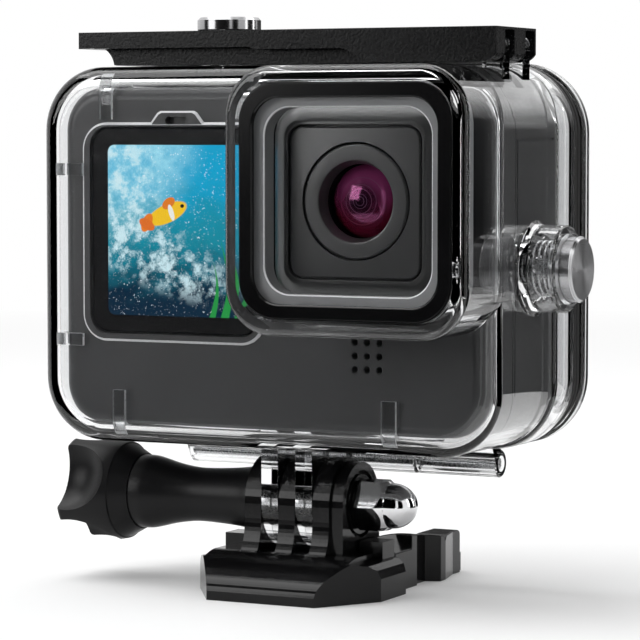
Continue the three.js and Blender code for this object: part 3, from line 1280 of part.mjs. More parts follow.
function frontScreen() {
  const shape = flat(SCREEN_OUTLINE);
  shape.holes.push(displayShape(0));
  return alongY(shape, CAMERA_FRONT - 0.1, CAMERA_FRONT + SCREEN_THICKNESS);
}

function frontDisplay() {
  return alongY(displayShape(0.1), CAMERA_FRONT, CAMERA_FRONT + SCREEN_THICKNESS);
}

function rearScreenShape(inset) {
  const width = CAMERA_WIDTH - 2 * REAR_SCREEN_SIDE;
  const height = CAMERA_HEIGHT - REAR_SCREEN_BOTTOM - REAR_SCREEN_TOP;
  const z = CAMERA_Z + (REAR_SCREEN_BOTTOM - REAR_SCREEN_TOP) / 2;
  return flat(shrink({ width, height, radius: 1.8, x: CAMERA_X, z }, inset));
}

function rearScreen() {
  return alongY(rearScreenShape(0), CAMERA_REAR - SCREEN_THICKNESS, CAMERA_REAR + 0.1);
}

// What the camera holds
function battery() {
  const left = CAMERA_LEFT + BATTERY_DOOR_DEPTH + GAP;
  const outline = roundedRectangle(BATTERY_DEPTH, BATTERY_HEIGHT, 1.5, BATTERY_Y, CAMERA_Z);
  return alongX(outline, left, left + BATTERY_LENGTH);
}

function batteryDoor() {
  const panel = alongX(batteryDoorOutline(0), CAMERA_LEFT, CAMERA_LEFT + BATTERY_DOOR_PANEL);
  const plug = alongX(
    batteryDoorOutline(0.7), CAMERA_LEFT + BATTERY_DOOR_PANEL - 0.1, CAMERA_LEFT + BATTERY_DOOR_DEPTH);
  return join(panel, plug);
}

function mainBoard() {
  const front = CAMERA_FRONT + BOARD_BACK;
  const whole = loft(CAMERA_INSIDE, [[front, GAP], [front + BOARD_THICKNESS, GAP]]);
  const right = CAMERA_LEFT + CAMERA_WALL + GAP + BOARD_WIDTH;
  return cut(whole, block(right, CAMERA_RIGHT, front - PAST, COVER_REAR + PAST, CAMERA_BOTTOM, CAMERA_TOP));
}

// A button of the camera: its head stands proud of the case and its flange sits under the wall
function cameraButton(axis, place, rise) {
  const flangeTop = -rise - CAMERA_WALL - GAP;
  const end = flangeTop - CAMERA_BUTTON_FLANGE;
  const flange = CAMERA_BUTTON_RADIUS + RUNNING_GAP + 0.8;
  return turned(axis, [
    [0, end], [flange, end], [flange, flangeTop], [CAMERA_BUTTON_RADIUS, flangeTop],
    [CAMERA_BUTTON_RADIUS, -0.3], [CAMERA_BUTTON_RADIUS - 0.3, 0], [0, 0],
  ], place, ROUND);
}

const SHUTTER_BUTTON = [SHUTTER_X, BUTTON_Y, CAMERA_TOP + SHUTTER_BUTTON_RISE];
const MODE_BUTTON = [CAMERA_RIGHT + MODE_BUTTON_RISE, BUTTON_Y, MODE_Z];
const SHUTTER_STEM_END = SHUTTER_BUTTON[2] + GAP - SHUTTER.place[2];
const MODE_STEM_END = MODE_BUTTON[0] + GAP - MODE.place[0];

// Every piece: name, finish, body
const PIECES = [
  ["buckle_body", "black", buckleBody],
  ["release_arm_left", "black", () => releaseArm(-1)],
  ["release_arm_right", "black", () => releaseArm(1)],
  ["thumb_knob", "black", thumbKnob],
  ["clamp_bolt", "steel", clampBolt],
  ["acorn_nut", "chrome", acornNut],
  ["front_shell", "clear", frontShell],
  ["port_ring", "black", portRing],
  ["port_window", "clear", portWindow],
  ["port_bezel", "grey", portBezel],
  ["rear_door", "clear", rearDoor],
  ["door_gasket", "rubber", doorGasket],
  ["door_pin", "steel", doorPin],
  ["latch_lever", "black", latchLever],
  ["latch_pin", "steel", latchPin],
  ["shutter_cap", "steel", () => buttonCap(SHUTTER)],
  ["shutter_stem", "steel", () => buttonStem(SHUTTER, SHUTTER_STEM_END)],
  ["shutter_spring", "steel", () => buttonSpring(SHUTTER)],
  ["shutter_seal", "rubber", () => buttonSeal(SHUTTER)],
  ["shutter_clip", "steel", () => stemClip(SHUTTER)],
  ["mode_cap", "steel", () => buttonCap(MODE)],
  ["mode_stem", "steel", () => buttonStem(MODE, MODE_STEM_END)],
  ["mode_spring", "steel", () => buttonSpring(MODE)],
  ["mode_seal", "rubber", () => buttonSeal(MODE)],
  ["mode_clip", "steel", () => stemClip(MODE)],
  ["camera_front_cover", "bodyGrey", cameraFrontCover],
  ["camera_rear_case", "bodyGrey", cameraRearCase],
  ["camera_shutter_button", "black", () => cameraButton("z", SHUTTER_BUTTON, SHUTTER_BUTTON_RISE)],
  ["camera_mode_button", "black", () => cameraButton("x", MODE_BUTTON, MODE_BUTTON_RISE)],
  ["lens_cover", "gloss", lensCover],
  ["lens_plate", "grey", lensPlate],
  ["lens_ring", "grey", lensRing],
  ["lens_barrel", "black", lensBarrel],
  ["lens_front_glass", "coated", frontLens],
  ["lens_rear_glass", "coated", rearLens],
  ["image_sensor", "board", imageSensor],
  ["front_screen", "gloss", frontScreen],
  ["front_display", "display", frontDisplay],
  ["rear_screen", "gloss", rearScreen],
  ["battery", "label", battery],
  ["battery_door", "bodyGrey", batteryDoor],
  ["main_board", "board", mainBoard],
];

const model = new THREE.Group();
for (const [name, look, make] of PIECES) {
  const mesh = new THREE.Mesh(toGeometry(make()), finish(look));
  mesh.name = name;
  model.add(mesh);
}

export default model;
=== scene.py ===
import json
import math

import bmesh
import bpy
from mathutils import Matrix, Vector


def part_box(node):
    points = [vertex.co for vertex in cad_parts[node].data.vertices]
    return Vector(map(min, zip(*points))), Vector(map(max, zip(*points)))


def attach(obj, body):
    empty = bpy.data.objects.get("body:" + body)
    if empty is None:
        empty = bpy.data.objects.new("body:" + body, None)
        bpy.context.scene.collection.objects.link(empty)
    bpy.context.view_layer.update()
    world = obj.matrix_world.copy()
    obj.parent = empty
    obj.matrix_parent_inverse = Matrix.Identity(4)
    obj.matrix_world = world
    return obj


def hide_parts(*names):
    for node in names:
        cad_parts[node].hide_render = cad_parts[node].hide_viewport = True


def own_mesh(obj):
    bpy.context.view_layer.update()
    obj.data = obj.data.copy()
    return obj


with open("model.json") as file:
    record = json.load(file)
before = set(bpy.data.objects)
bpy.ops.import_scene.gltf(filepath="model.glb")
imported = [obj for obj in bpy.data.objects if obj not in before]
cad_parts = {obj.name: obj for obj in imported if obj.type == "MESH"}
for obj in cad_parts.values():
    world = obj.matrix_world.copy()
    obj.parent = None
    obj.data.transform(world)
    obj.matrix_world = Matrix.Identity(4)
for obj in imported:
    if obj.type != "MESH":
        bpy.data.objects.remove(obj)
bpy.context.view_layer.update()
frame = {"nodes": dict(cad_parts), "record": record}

MM = 0.001
NODES = frame["nodes"]
SLOT_OF = {row["node"]: row["material_slot"] for row in frame["record"]["subparts"]}
BODY_OF = {
    node: body for body, nodes in frame["record"]["behaviour"]["bodies"].items() for node in nodes}


# Node trees
def tree_of(owner):
    owner.use_nodes = True
    owner.node_tree.nodes.clear()
    return owner.node_tree


def new_material(name):
    material = bpy.data.materials.new(name)
    return material, tree_of(material)


def feed(socket, value):
    """Sets an input to a value, another node's output, a colour (a tuple), or a plain number or vector."""
    if isinstance(value, Value):
        value = value.socket
    if isinstance(value, bpy.types.NodeSocket):
        value.id_data.links.new(value, socket)
    elif isinstance(value, tuple):
        socket.default_value = (*value, 1)
    else:
        socket.default_value = value


def add(tree, kind, **values):
    """A new shader node: values set its attributes, or feed its inputs where it has no such attribute."""
    node = tree.nodes.new("ShaderNode" + kind)
    for name, value in values.items():
        if hasattr(node, name):
            setattr(node, name, value)
        else:
            feed(node.inputs[name.replace("_", " ")], value)
    return node


def output_of(tree, kind, *values, **settings):
    """The first output of a new node whose inputs are fed in their order."""
    node = add(tree, kind, **settings)
    for socket, value in zip(node.inputs, values):
        feed(socket, value)
    return node.outputs[0]


class Value:
    """A number in a node tree: sums, differences and products of values become Math nodes."""

    def __init__(self, socket):
        self.socket = socket
        self.tree = socket.id_data

    def math(self, operation, *others):
        return Value(output_of(self.tree, "Math", self, *others, operation=operation))

    def __add__(self, other):
        return self.math("ADD", other)

    def __sub__(self, other):
        return self.math("SUBTRACT", other)

    def __mul__(self, other):
        return self.math("MULTIPLY", other)

    def ranged(self, low, high, start=0.35, end=0.65, kind="LINEAR"):
        """Low where this value is start or less, high where it is end or more."""
        return Value(output_of(self.tree, "MapRange", self, start, end, low, high, interpolation_type=kind))

    def step(self, start, end):
        """A smooth step from 0 at start to 1 at end."""
        return self.ranged(0, 1, start, end, "SMOOTHSTEP")


def place_in(tree, output="Object"):
    """The three coordinates of a point, as values."""
    coords = add(tree, "TexCoord")
    split = add(tree, "SeparateXYZ", Vector=coords.outputs[output])
    return [Value(socket) for socket in split.outputs]


def from_centre(tree, centre, axis):
    """Distance from a line along an axis through a point, all in millimetres."""
    a, b = [place - centre[i] * MM for i, place in enumerate(place_in(tree)) if i != axis]
    return (a * a + b * b).math("SQRT") * (1 / MM)


def noise(tree, scale, detail=3.0, roughness=0.5, stretch=(1, 1, 1)):
    """Noise over the object's own coordinates."""
    coords = add(tree, "TexCoord")
    mapping = add(tree, "Mapping", Vector=coords.outputs["Object"], Scale=[scale * s for s in stretch])
    texture = add(
        tree, "TexNoise", Vector=mapping.outputs["Vector"], Scale=1.0, Detail=detail, Roughness=roughness)
    return Value(texture.outputs["Fac"])


def mixed(factor, a, b):
    """A colour between two, each a triple or another node's output."""
    node = add(factor.tree, "Mix", data_type="RGBA", Factor=factor)
    feed(node.inputs[6], a)
    feed(node.inputs[7], b)
    return node.outputs[2]


def bump(height, strength, distance, **normal):
    node = add(height.tree, "Bump", Height=height, Strength=strength, Distance=distance, **normal)
    return node.outputs["Normal"]


def crowned(normal, crown):
    """Adds a shallow dome to a flat face's normals: crown is its centre (x, z) and radius, in millimetres."""
    x, z, radius = crown
    distance = from_centre(normal.id_data, (x, 0, z), 1)
    return bump(distance * distance * (-MM / (2 * radius)), 1.0, 1.0, Normal=normal)


def finish_tree(tree, shader):
    add(tree, "OutputMaterial", Surface=shader)


# Materials
PATCH_SCALE, WAVE_SCALE = 60.0, 45.0
LATHE_MARKS = 14.0


def surface(name, color, color2, rough, rough2, grain, depth, specular=0.5, crown=None, **sockets):
    """A moulded or machined surface: mottled between two close colours, uneven roughness and a fine grain."""
    material, tree = new_material(name)
    patches = noise(tree, PATCH_SCALE, 4.0)
    fine = noise(tree, grain, 3.0, 0.6)
    normal = bump(fine, 1.0, depth * MM)
    shader = add(
        tree, "BsdfPrincipled", Base_Color=mixed(patches.ranged(0, 1), color, color2),
        Roughness=fine.ranged(rough, rough2), Specular_IOR_Level=specular,
        Normal=crowned(normal, crown) if crown else normal, **sockets)
    finish_tree(tree, shader.outputs[0])
    return material


def clear(name, tint, ior, rough, waviness):
    """Clear moulded plastic or glass that lets light through to what it holds."""
    material, tree = new_material(name)
    waves = noise(tree, WAVE_SCALE, 2.0)
    shader = add(
        tree, "BsdfPrincipled", Base_Color=tint, Transmission_Weight=1.0, IOR=ior,
        Roughness=waves.ranged(rough, rough * 2), Normal=bump(waves, 0.5, waviness * MM))
    path = add(tree, "LightPath")
    through = add(tree, "BsdfTransparent")
    finish_tree(tree, output_of(
        tree, "MixShader", path.outputs["Is Shadow Ray"], shader.outputs[0], through.outputs[0]))
    return material


def turned_steel(name, centre, axis):
    """Steel faced on a lathe: fine circular tool marks about the cap's axis, stretching its highlights."""
    material, tree = new_material(name)
    marks = from_centre(tree, centre, axis) * LATHE_MARKS
    noise_node = add(tree, "TexNoise", noise_dimensions="1D", Scale=1.0, Detail=2.0, W=marks)
    lines = Value(noise_node.outputs["Fac"])
    place = add(tree, "TexCoord").outputs["Object"]
    middle = [v * MM for v in centre]
    out = output_of(tree, "VectorMath", place, middle, operation="SUBTRACT")
    line = [float(i == axis) for i in range(3)]
    around = output_of(tree, "VectorMath", out, line, operation="CROSS_PRODUCT")
    shader = add(
        tree, "BsdfPrincipled", Metallic=1.0, Anisotropic=0.8, Anisotropic_Rotation=0.25,
        Base_Color=mixed(lines.ranged(0, 1), (0.42, 0.42, 0.43), (0.56, 0.56, 0.57)),
        Roughness=lines.ranged(0.22, 0.32), Normal=bump(lines, 0.6, 0.004 * MM),
        Tangent=output_of(tree, "VectorMath", around, operation="NORMALIZE"))
    finish_tree(tree, shader.outputs[0])
    return material


# Sizes that the drawn pieces share, in millimetres. An outline is (width, height, corner, x, z)
HOUSING = (82.0, 61.6, 10.5, -0.7, 55.4)
FLANGE = (83.6, 62.8, 11.5, -0.7, 55.4)
PORT = (41.5, 41.95, 8, 20.05, 64.875)
CAMERA = (76.6, 56.4, 7.5, -0.4, 55.0)
SCREEN = (30.6, 33.3, 3.0, -17.4, 59.45)
SCREEN_RIM = (34.1, 36.0, 4.5, -17.55, 59.15)
PICTURE = (25.3, 27.9, 1.2, -17.15, 59.5)


def sides(shape):
    """Left, right, bottom and top of an outline."""
    width, height, _, x, z = shape
    return x - width / 2, x + width / 2, z - height / 2, z + height / 2


HOUSING_LEFT, _, HOUSING_BOTTOM, HOUSING_TOP = sides(HOUSING)
CAMERA_LEFT, CAMERA_RIGHT, CAMERA_BOTTOM, CAMERA_TOP = sides(CAMERA)
FLANGE_TOP = sides(FLANGE)[3]
SHELL_FRONT, SHELL_REAR, FLANGE_FRONT, PORT_FRONT = -15.6, 15.6, 7.4, -28.0
CAMERA_FRONT, CAMERA_REAR = -12.8, 12.8
CAMERA_EDGE, CAMERA_WALL, COVER_REAR = 2.6, 1.8, -6.2
WALL, PORT_WALL, SHELL_EDGE, PORT_EDGE, GAP = 1.9, 2.3, 3.0, 1.4, 0.3
LENS = (19.2, 64.8)
LENS_FRONT = -21.3
AXIS_Z = 14.8
CLAMP_AXIS = (0, 0, AXIS_Z)
SHUTTER = dict(axis="z", place=(-14.2, -0.4, 86.0), wall=3.5, cup=6.2, depth=4.6)
MODE = dict(axis="x", place=(40.3, -0.4, 54.0), wall=1.9, cup=6.9, depth=5.9)
CAP_RADIUS, SLEEVE_GAP = 5.25, 0.35
LATCH_PIVOT = (36.5, 89.4)
EARS = (-7.0, 1.2)
HINGE = (17.0, 20.6)
HINGE_SPANS = ((-30.5, -15.85), (12.85, 27.5))

CORNER_STEPS = 16
LATHE_STEPS = 96


def box_of(node):
    """Low and high corner of a CAD node in millimetres."""
    return [[v / MM for v in corner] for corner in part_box(node)]


def line_of(button):
    """The axis of a push button as a number, and a point on it with 0 along it."""
    axis = "xyz".index(button["axis"])
    place = list(button["place"])
    place[axis] = 0
    return axis, place


# Meshes from points in millimetres
def placed(name, data):
    """A new object in the scene."""
    obj = bpy.data.objects.new(name, data)
    bpy.context.scene.collection.objects.link(obj)
    return obj


def to_object(name, bm):
    bmesh.ops.recalc_face_normals(bm, faces=bm.faces)
    mesh = bpy.data.meshes.new(name)
    bm.to_mesh(mesh)
    bm.free()
    return placed(name, mesh)


def outline(shape, inset=0.0, share=1.0):
    """Points (x, z) of a rounded rectangle drawn in by an inset; its corners shrink by a share of it."""
    width, height, radius, x, z = shape
    w, h = width / 2 - inset, height / 2 - inset
    r = max(radius - share * inset, 0.3)
    points = []
    for corner, (sx, sz) in enumerate(((1, -1), (1, 1), (-1, 1), (-1, -1))):
        for i in range(CORNER_STEPS + 1):
            angle = (corner - 1 + i / CORNER_STEPS) * math.pi / 2
            points.append((x + sx * (w - r) + r * math.cos(angle), z + sz * (h - r) + r * math.sin(angle)))
    return points


def skin(name, rings, loop=False):
    """A closed mesh through rings of points or single points, its ends capped or joined to each other."""
    bm = bmesh.new()
    rows = [[bm.verts.new(Vector(point) * MM) for point in ring] for ring in rings]
    count = max(len(row) for row in rows)
    for a, b in zip(rows, rows[1:] + rows[:1] if loop else rows[1:]):
        for i in range(count):
            j = (i + 1) % count
            corners = dict.fromkeys((a[i % len(a)], a[j % len(a)], b[j % len(b)], b[i % len(b)]))
            if len(corners) > 2:
                bm.faces.new(list(corners))
    if count == len(rows[0]) and not loop:
        bm.faces.new(rows[0])
        bm.faces.new(rows[-1])
    return to_object(name, bm)


def loft(name, shape, levels, share=1.0, loop=False):
    """A solid along Y through levels of [place, inset of the outline]."""
    rings = [[(x, y, z) for x, z in outline(shape, inset, share)] for y, inset in levels]
    return skin(name, rings, loop)


def rounded_front(front, rear, edge, inset=0.0, steps=10):
    """Levels with a rounded front edge, for an outline that is drawn in by an inset."""
    levels = []
    for i in range(steps + 1):
        angle = i / steps * math.pi / 2
        levels.append((front + edge * (1 - math.cos(angle)), inset + edge * (1 - math.sin(angle))))
    return levels + [(rear, inset)]


SPOKES = {
    "x": lambda r, h, c, s: (h, r * c, r * s),
    "y": lambda r, h, c, s: (r * c, h, r * s),
    "z": lambda r, h, c, s: (r * c, r * s, h),
}


def turned(name, axis, profile, place, steps=LATHE_STEPS):
    """A form turned about an axis: its profile of [radius, place] ends on the axis or on itself."""
    closed = profile[0] == profile[-1]
    rings = []
    for r, h in profile[:-1] if closed else profile:
        angles = [i / steps * 2 * math.pi for i in range(steps if r > 0 else 1)]
        rings.append([Vector(SPOKES[axis](r, h, math.cos(a), math.sin(a))) + Vector(place) for a in angles])
    return skin(name, rings, closed)


def rod(axis, radius, low, high, place, steps=LATHE_STEPS):
    return turned("rod", axis, [(0, low), (radius, low), (radius, high), (0, high)], place, steps)


def prism(name, axis, points, low, high):
    """A flat outline pushed along an axis: its points are the other two coordinates, in their order."""
    def place(h, a, b):
        return {"x": (h, a, b), "y": (a, h, b), "z": (a, b, h)}[axis]
    return skin(name, [[place(h, a, b) for a, b in points] for h in (low, high)])


def block(name, x0, x1, y0, y1, z0, z1):
    return prism(name, "z", [(x0, y0), (x1, y0), (x1, y1), (x0, y1)], z0, z1)


def arc(x, y, radius, start, end, steps=16):
    """Points of an arc, its angles in degrees."""
    angles = [math.radians(start + (end - start) * i / steps) for i in range(steps + 1)]
    return [(x + radius * math.cos(a), y + radius * math.sin(a)) for a in angles]


def carve(base, operation, *tools):
    """Joins or cuts a solid with others, which are used up."""
    for tool in tools:
        step = base.modifiers.new("step", "BOOLEAN")
        step.operation, step.solver, step.object = operation, "MANIFOLD", tool
    graph = bpy.context.evaluated_depsgraph_get()
    mesh = bpy.data.meshes.new_from_object(base.evaluated_get(graph))
    base.modifiers.clear()
    base.data = mesh
    for tool in tools:
        bpy.data.objects.remove(tool)
    return base


def join(base, *tools):
    return carve(base, "UNION", *tools)


def cut(base, *tools):
    return carve(base, "DIFFERENCE", *tools)


def common(base, *tools):
    return carve(base, "INTERSECT", *tools)


# The clear front shell. A bore is its radius, start and end
SEAL_BORE, SEAL_SEAT, STEM_BORE = 2.95, 1.7, 1.95
EAR_RADIUS, EAR_HALF = 1.7, 1.5
MOUNT_RADIUS, FINGER_X, FINGER_HALF = 7.5, 3.1, 1.5
KNUCKLE_RADIUS = 2.3
HINGE_BORE, LATCH_BORE, BOLT_BORE = (1.35, -32, 29), (1.15, -14, 24), (2.75, -9, 12)
RIB_GAP, RIB_DEPTH, RIB_REACH, RIB_FOOT = 0.02, 9.0, 7.4, 33.2


def cup(button):
    """The raised cup round a push button."""
    radius, depth = button["cup"], button["depth"]
    face, foot = 0.5, 0.7
    root = face - button["wall"]
    return turned("cup", button["axis"], [
        (0, root), (radius + foot, root), (radius + foot, face), (radius + 0.4, 0.8), (radius, 1.5),
        (radius, depth - 0.4), (radius - 0.15, depth - 0.1), (radius - 0.4, depth), (0, depth),
    ], button["place"])


def cup_bore(button):
    """The room for a push button's seal, stem and cap."""
    end, depth, sleeve = -button["wall"], button["depth"], CAP_RADIUS + SLEEVE_GAP
    return turned("bore", button["axis"], [
        (0, end - 1), (SEAL_BORE, end - 1), (SEAL_BORE, end + SEAL_SEAT), (STEM_BORE, end + SEAL_SEAT),
        (STEM_BORE, 1), (sleeve - 0.4, 1), (sleeve, 1.4), (sleeve, depth + 1), (0, depth + 1),
    ], button["place"])


def ear(y):
    x, z = LATCH_PIVOT
    foot = FLANGE_TOP - 3.6
    points = [(x - EAR_RADIUS, foot), (x + EAR_RADIUS, foot)] + arc(x, z, EAR_RADIUS, 0, 180, 20)
    return prism("ear", "y", points, y - EAR_HALF, y + EAR_HALF)


def knuckle(x0, x1, web):
    """A length of the hinge's barrel and the web that carries it, given by its points (y, z)."""
    r = KNUCKLE_RADIUS
    barrel = turned("knuckle", "x", [
        (0, x0), (r - 0.2, x0), (r, x0 + 0.2), (r, x1 - 0.2), (r - 0.2, x1), (0, x1)], (0, *HINGE))
    return join(barrel, prism("web", "x", web, x0, x1))


def hinge_bore():
    return rod("x", *HINGE_BORE, (0, *HINGE), 48)


def mount_finger(side):
    root = HOUSING_BOTTOM + 1
    points = arc(0, AXIS_Z, MOUNT_RADIUS, 180, 360, 40) + [(MOUNT_RADIUS, root), (-MOUNT_RADIUS, root)]
    centre = side * FINGER_X
    return prism("finger", "x", points, centre - FINGER_HALF, centre + FINGER_HALF)


def clear_shell():
    body = loft("clear_shell", HOUSING, rounded_front(SHELL_FRONT, SHELL_REAR, SHELL_EDGE))
    flange = loft("flange", FLANGE, [
        (FLANGE_FRONT, 0.6), (FLANGE_FRONT + 0.2, 0.2), (FLANGE_FRONT + 0.7, 0),
        (SHELL_REAR - 1, 0), (SHELL_REAR - 0.3, 0.15), (SHELL_REAR, 0.5)])
    port = loft("port", PORT, rounded_front(PORT_FRONT, FLANGE_FRONT + 0.2, PORT_EDGE, steps=8))
    y, z = HINGE
    foot = HOUSING_BOTTOM + 1
    web = [(y - 4.8, foot), (y - 2.3, z), (y, z - 0.5), (y + 0.2, z + 1.9), (SHELL_REAR - 0.6, foot)]
    join(body, flange, port, cup(SHUTTER), cup(MODE), *[ear(place) for place in EARS],
         mount_finger(-1), mount_finger(1), *[knuckle(*span, web) for span in HINGE_SPANS])
    inner = SHELL_FRONT + WALL
    cut(body, loft("cavity", HOUSING, rounded_front(inner, SHELL_REAR + 1, 1.9, WALL)))
    hollow = loft("hollow", PORT, [(PORT_FRONT - 1, PORT_WALL), (inner + 0.1, PORT_WALL)], 0.8)
    x, z = LATCH_PIVOT
    latch_bore = rod("y", *LATCH_BORE, (x, 0, z), 48)
    bolt_bore = rod("x", *BOLT_BORE, CLAMP_AXIS, 64)
    return cut(body, hollow, cup_bore(SHUTTER), cup_bore(MODE), latch_bore, hinge_bore(), bolt_bore)


def corner_ribs():
    """Ribs that wrap the inside of the front edge and hold the camera off the wall."""
    front, side = SHELL_FRONT + WALL + RIB_GAP, HOUSING_LEFT + RIB_REACH
    slabs = [
        (-28.6, -26.4, HOUSING_BOTTOM, RIB_FOOT), (20.2, 22.7, HOUSING_BOTTOM, RIB_FOOT),
        (-30.9, -28.7, 77.6, HOUSING_TOP), (HOUSING_LEFT, side, 40.3, 42.3), (HOUSING_LEFT, side, 68.4, 70.4),
    ]
    ribs = []
    for x0, x1, z0, z1 in slabs:
        rib = block("rib", x0, x1, front, SHELL_FRONT + RIB_DEPTH, z0, z1)
        common(rib, loft("cavity", HOUSING, rounded_front(front, SHELL_REAR, 1.6, WALL + RIB_GAP)))
        cut(rib, loft("camera", CAMERA, rounded_front(CAMERA_FRONT - GAP, CAMERA_REAR, 2.4, -GAP)))
        ribs.append(rib)
    whole = join(*ribs)
    stands_for(whole, "front_shell", bevel=0.12, sharp=24)
    whole.name = "front_shell_ribs"
    # Painted highlight: the ribs' sides get a pale, half-clear finish that stands in for the light the clear
    # ribs carry by internal reflection.
    inside = HOUSING_LEFT * 0.99 * MM
    paint_faces(whole, "rib_painted_highlight", lambda face: abs(face.normal.y) < 0.5 and face.center.x > inside)


# Finishes. A spot of the picture is its place, half width, half height and turn, as shares of the picture
CLOUD_LIGHT = (0.1, 0.95, 0.5, 0.4, 0.5)
FROTH = ((0.3, 0.38, 0.6, 0.17, -0.35), (0.08, 0.7, 0.25, 0.35, 0.0))
REEDS = ((0.86, 0.035, 0.5), (0.77, 0.026, 0.36), (0.95, 0.024, 0.42))
FISH = (
    ((0.44, 0.6, 0.15, 0.055, 0.35), (0.9, 0.55, 0.02)), ((0.29, 0.545, 0.06, 0.035, 1.0), (0.8, 0.2, 0.02)),
    ((0.29, 0.535, 0.06, 0.03, -0.4), (0.75, 0.16, 0.02)), ((0.45, 0.66, 0.05, 0.03, 0.5), (0.75, 0.2, 0.02)),
    ((0.47, 0.605, 0.018, 0.05, 0.35), (0.85, 0.85, 0.8)), ((0.55, 0.645, 0.014, 0.011, 0.0), (0.01,) * 3),
)
# Painted reflections on the lens glass: radii of its faint rings, the edges of their lines, the spread from
# the dark middle to the rim, and the half height over which the rim turns brighter towards the top.
PAINTED_RING_RADII, RING_LINE, PUPIL, PAINTED_REFLECTION_REACH = (0.7, 1.15, 1.9, 2.6, 3.7), (0.07, 0.02), (0.8, 5.0), 3


def ellipse(u, v, spot, soft=0.15):
    """1 inside a spot of the picture, fading to 0 outside it."""
    cu, cv, width, height, turn = spot
    a, b = u - cu, v - cv
    c, s = math.cos(turn), math.sin(turn)
    along = a * (c / width) + b * (s / width)
    over = b * (c / height) - a * (s / height)
    return (along * along + over * over).step(1 + soft, 1 - soft)


def open_water(tree, u, v):
    """Colours of the picture: deep teal below, bright blue above, a cloud of white spray and drops."""
    swell = noise(tree, 150, 3.0, 0.55, (1, 1, 1.8))
    spray = noise(tree, 2900, 2.0, 0.7)
    foam = noise(tree, 380, 6.0, 0.72)
    depth = v + (swell - 0.5) * 0.45
    water = mixed(depth.step(0.08, 0.5), (0.002, 0.02, 0.045), (0.008, 0.26, 0.36))
    water = mixed(depth.step(0.45, 0.85), water, (0.004, 0.36, 0.62))
    light = ellipse(u, v, CLOUD_LIGHT, 0.9) * foam.ranged(0.3, 0.85, 0.35, 0.6)
    water = mixed(light, water, (0.4, 0.8, 0.92))
    reach = ellipse(u, v, FROTH[0], 0.9) + ellipse(u, v, FROTH[1], 0.9)
    water = mixed(reach.math("MINIMUM", 1.0) * foam.step(0.44, 0.62), water, (0.62, 0.84, 0.9))
    drops = spray.step(0.64, 0.7) * foam.step(0.36, 0.52) * 0.85
    return mixed(drops, water, (0.85, 0.95, 1.0))


def display_picture(name):
    """A lit picture: open water with reeds and a small fish."""
    left, right, bottom, top = (v * MM for v in sides(PICTURE))
    material, tree = new_material(name)
    x, _, z = place_in(tree)
    u = x.ranged(0, 1, left, right)
    v = z.ranged(0, 1, bottom, top)
    water = open_water(tree, u, v)
    bend = (v * 9.0).math("SINE") * 0.035
    for place, breadth, length in REEDS:
        slim = (u - bend - place).math("ABSOLUTE") + v * (breadth / length)
        water = mixed(slim.step(breadth, breadth * 0.7), water, (0.02, 0.3, 0.06))
    for spot, tint in FISH:
        water = mixed(ellipse(u, v, spot), water, tint)
    shader = add(
        tree, "BsdfPrincipled", Roughness=0.12, Base_Color=(0.004, 0.004, 0.005),
        Specular_IOR_Level=0.3, Emission_Strength=1.0, Emission_Color=water)
    finish_tree(tree, shader.outputs[0])
    return material


def coated_glass(name, deep, low, high, near, far):
    """A dark coated lens with painted reflections in its colour: darkest at its middle, a rim tint that is
    brighter at its top, and faint painted reflections of the rings of its elements.
    """
    material, tree = new_material(name)
    lens_x, lens_z = LENS
    radius = from_centre(tree, (lens_x, 0, lens_z), 1)
    # Painted reflection: the rim colour turns from its low to its high colour, brighter and pinker, towards
    # the top.
    height = place_in(tree)[2].step((lens_z - PAINTED_REFLECTION_REACH) * MM, (lens_z + PAINTED_REFLECTION_REACH) * MM)
    tone = mixed(radius.step(*PUPIL), deep, mixed(height, low, high))
    # Painted reflections of the inner elements: faint pale rings at given radii.
    for ring in PAINTED_RING_RADII:
        tone = mixed((radius - ring).math("ABSOLUTE").step(*RING_LINE) * 0.5, tone, (0.09, 0.05, 0.08))
    slant = Value(add(tree, "LayerWeight", Blend=0.45).outputs["Facing"])
    shader = add(
        tree, "BsdfPrincipled", IOR=1.9, Base_Color=tone, Specular_Tint=mixed(slant, near, far),
        Roughness=noise(tree, 400.0, 2.0).ranged(0.12, 0.16))
    finish_tree(tree, shader.outputs[0])
    return material


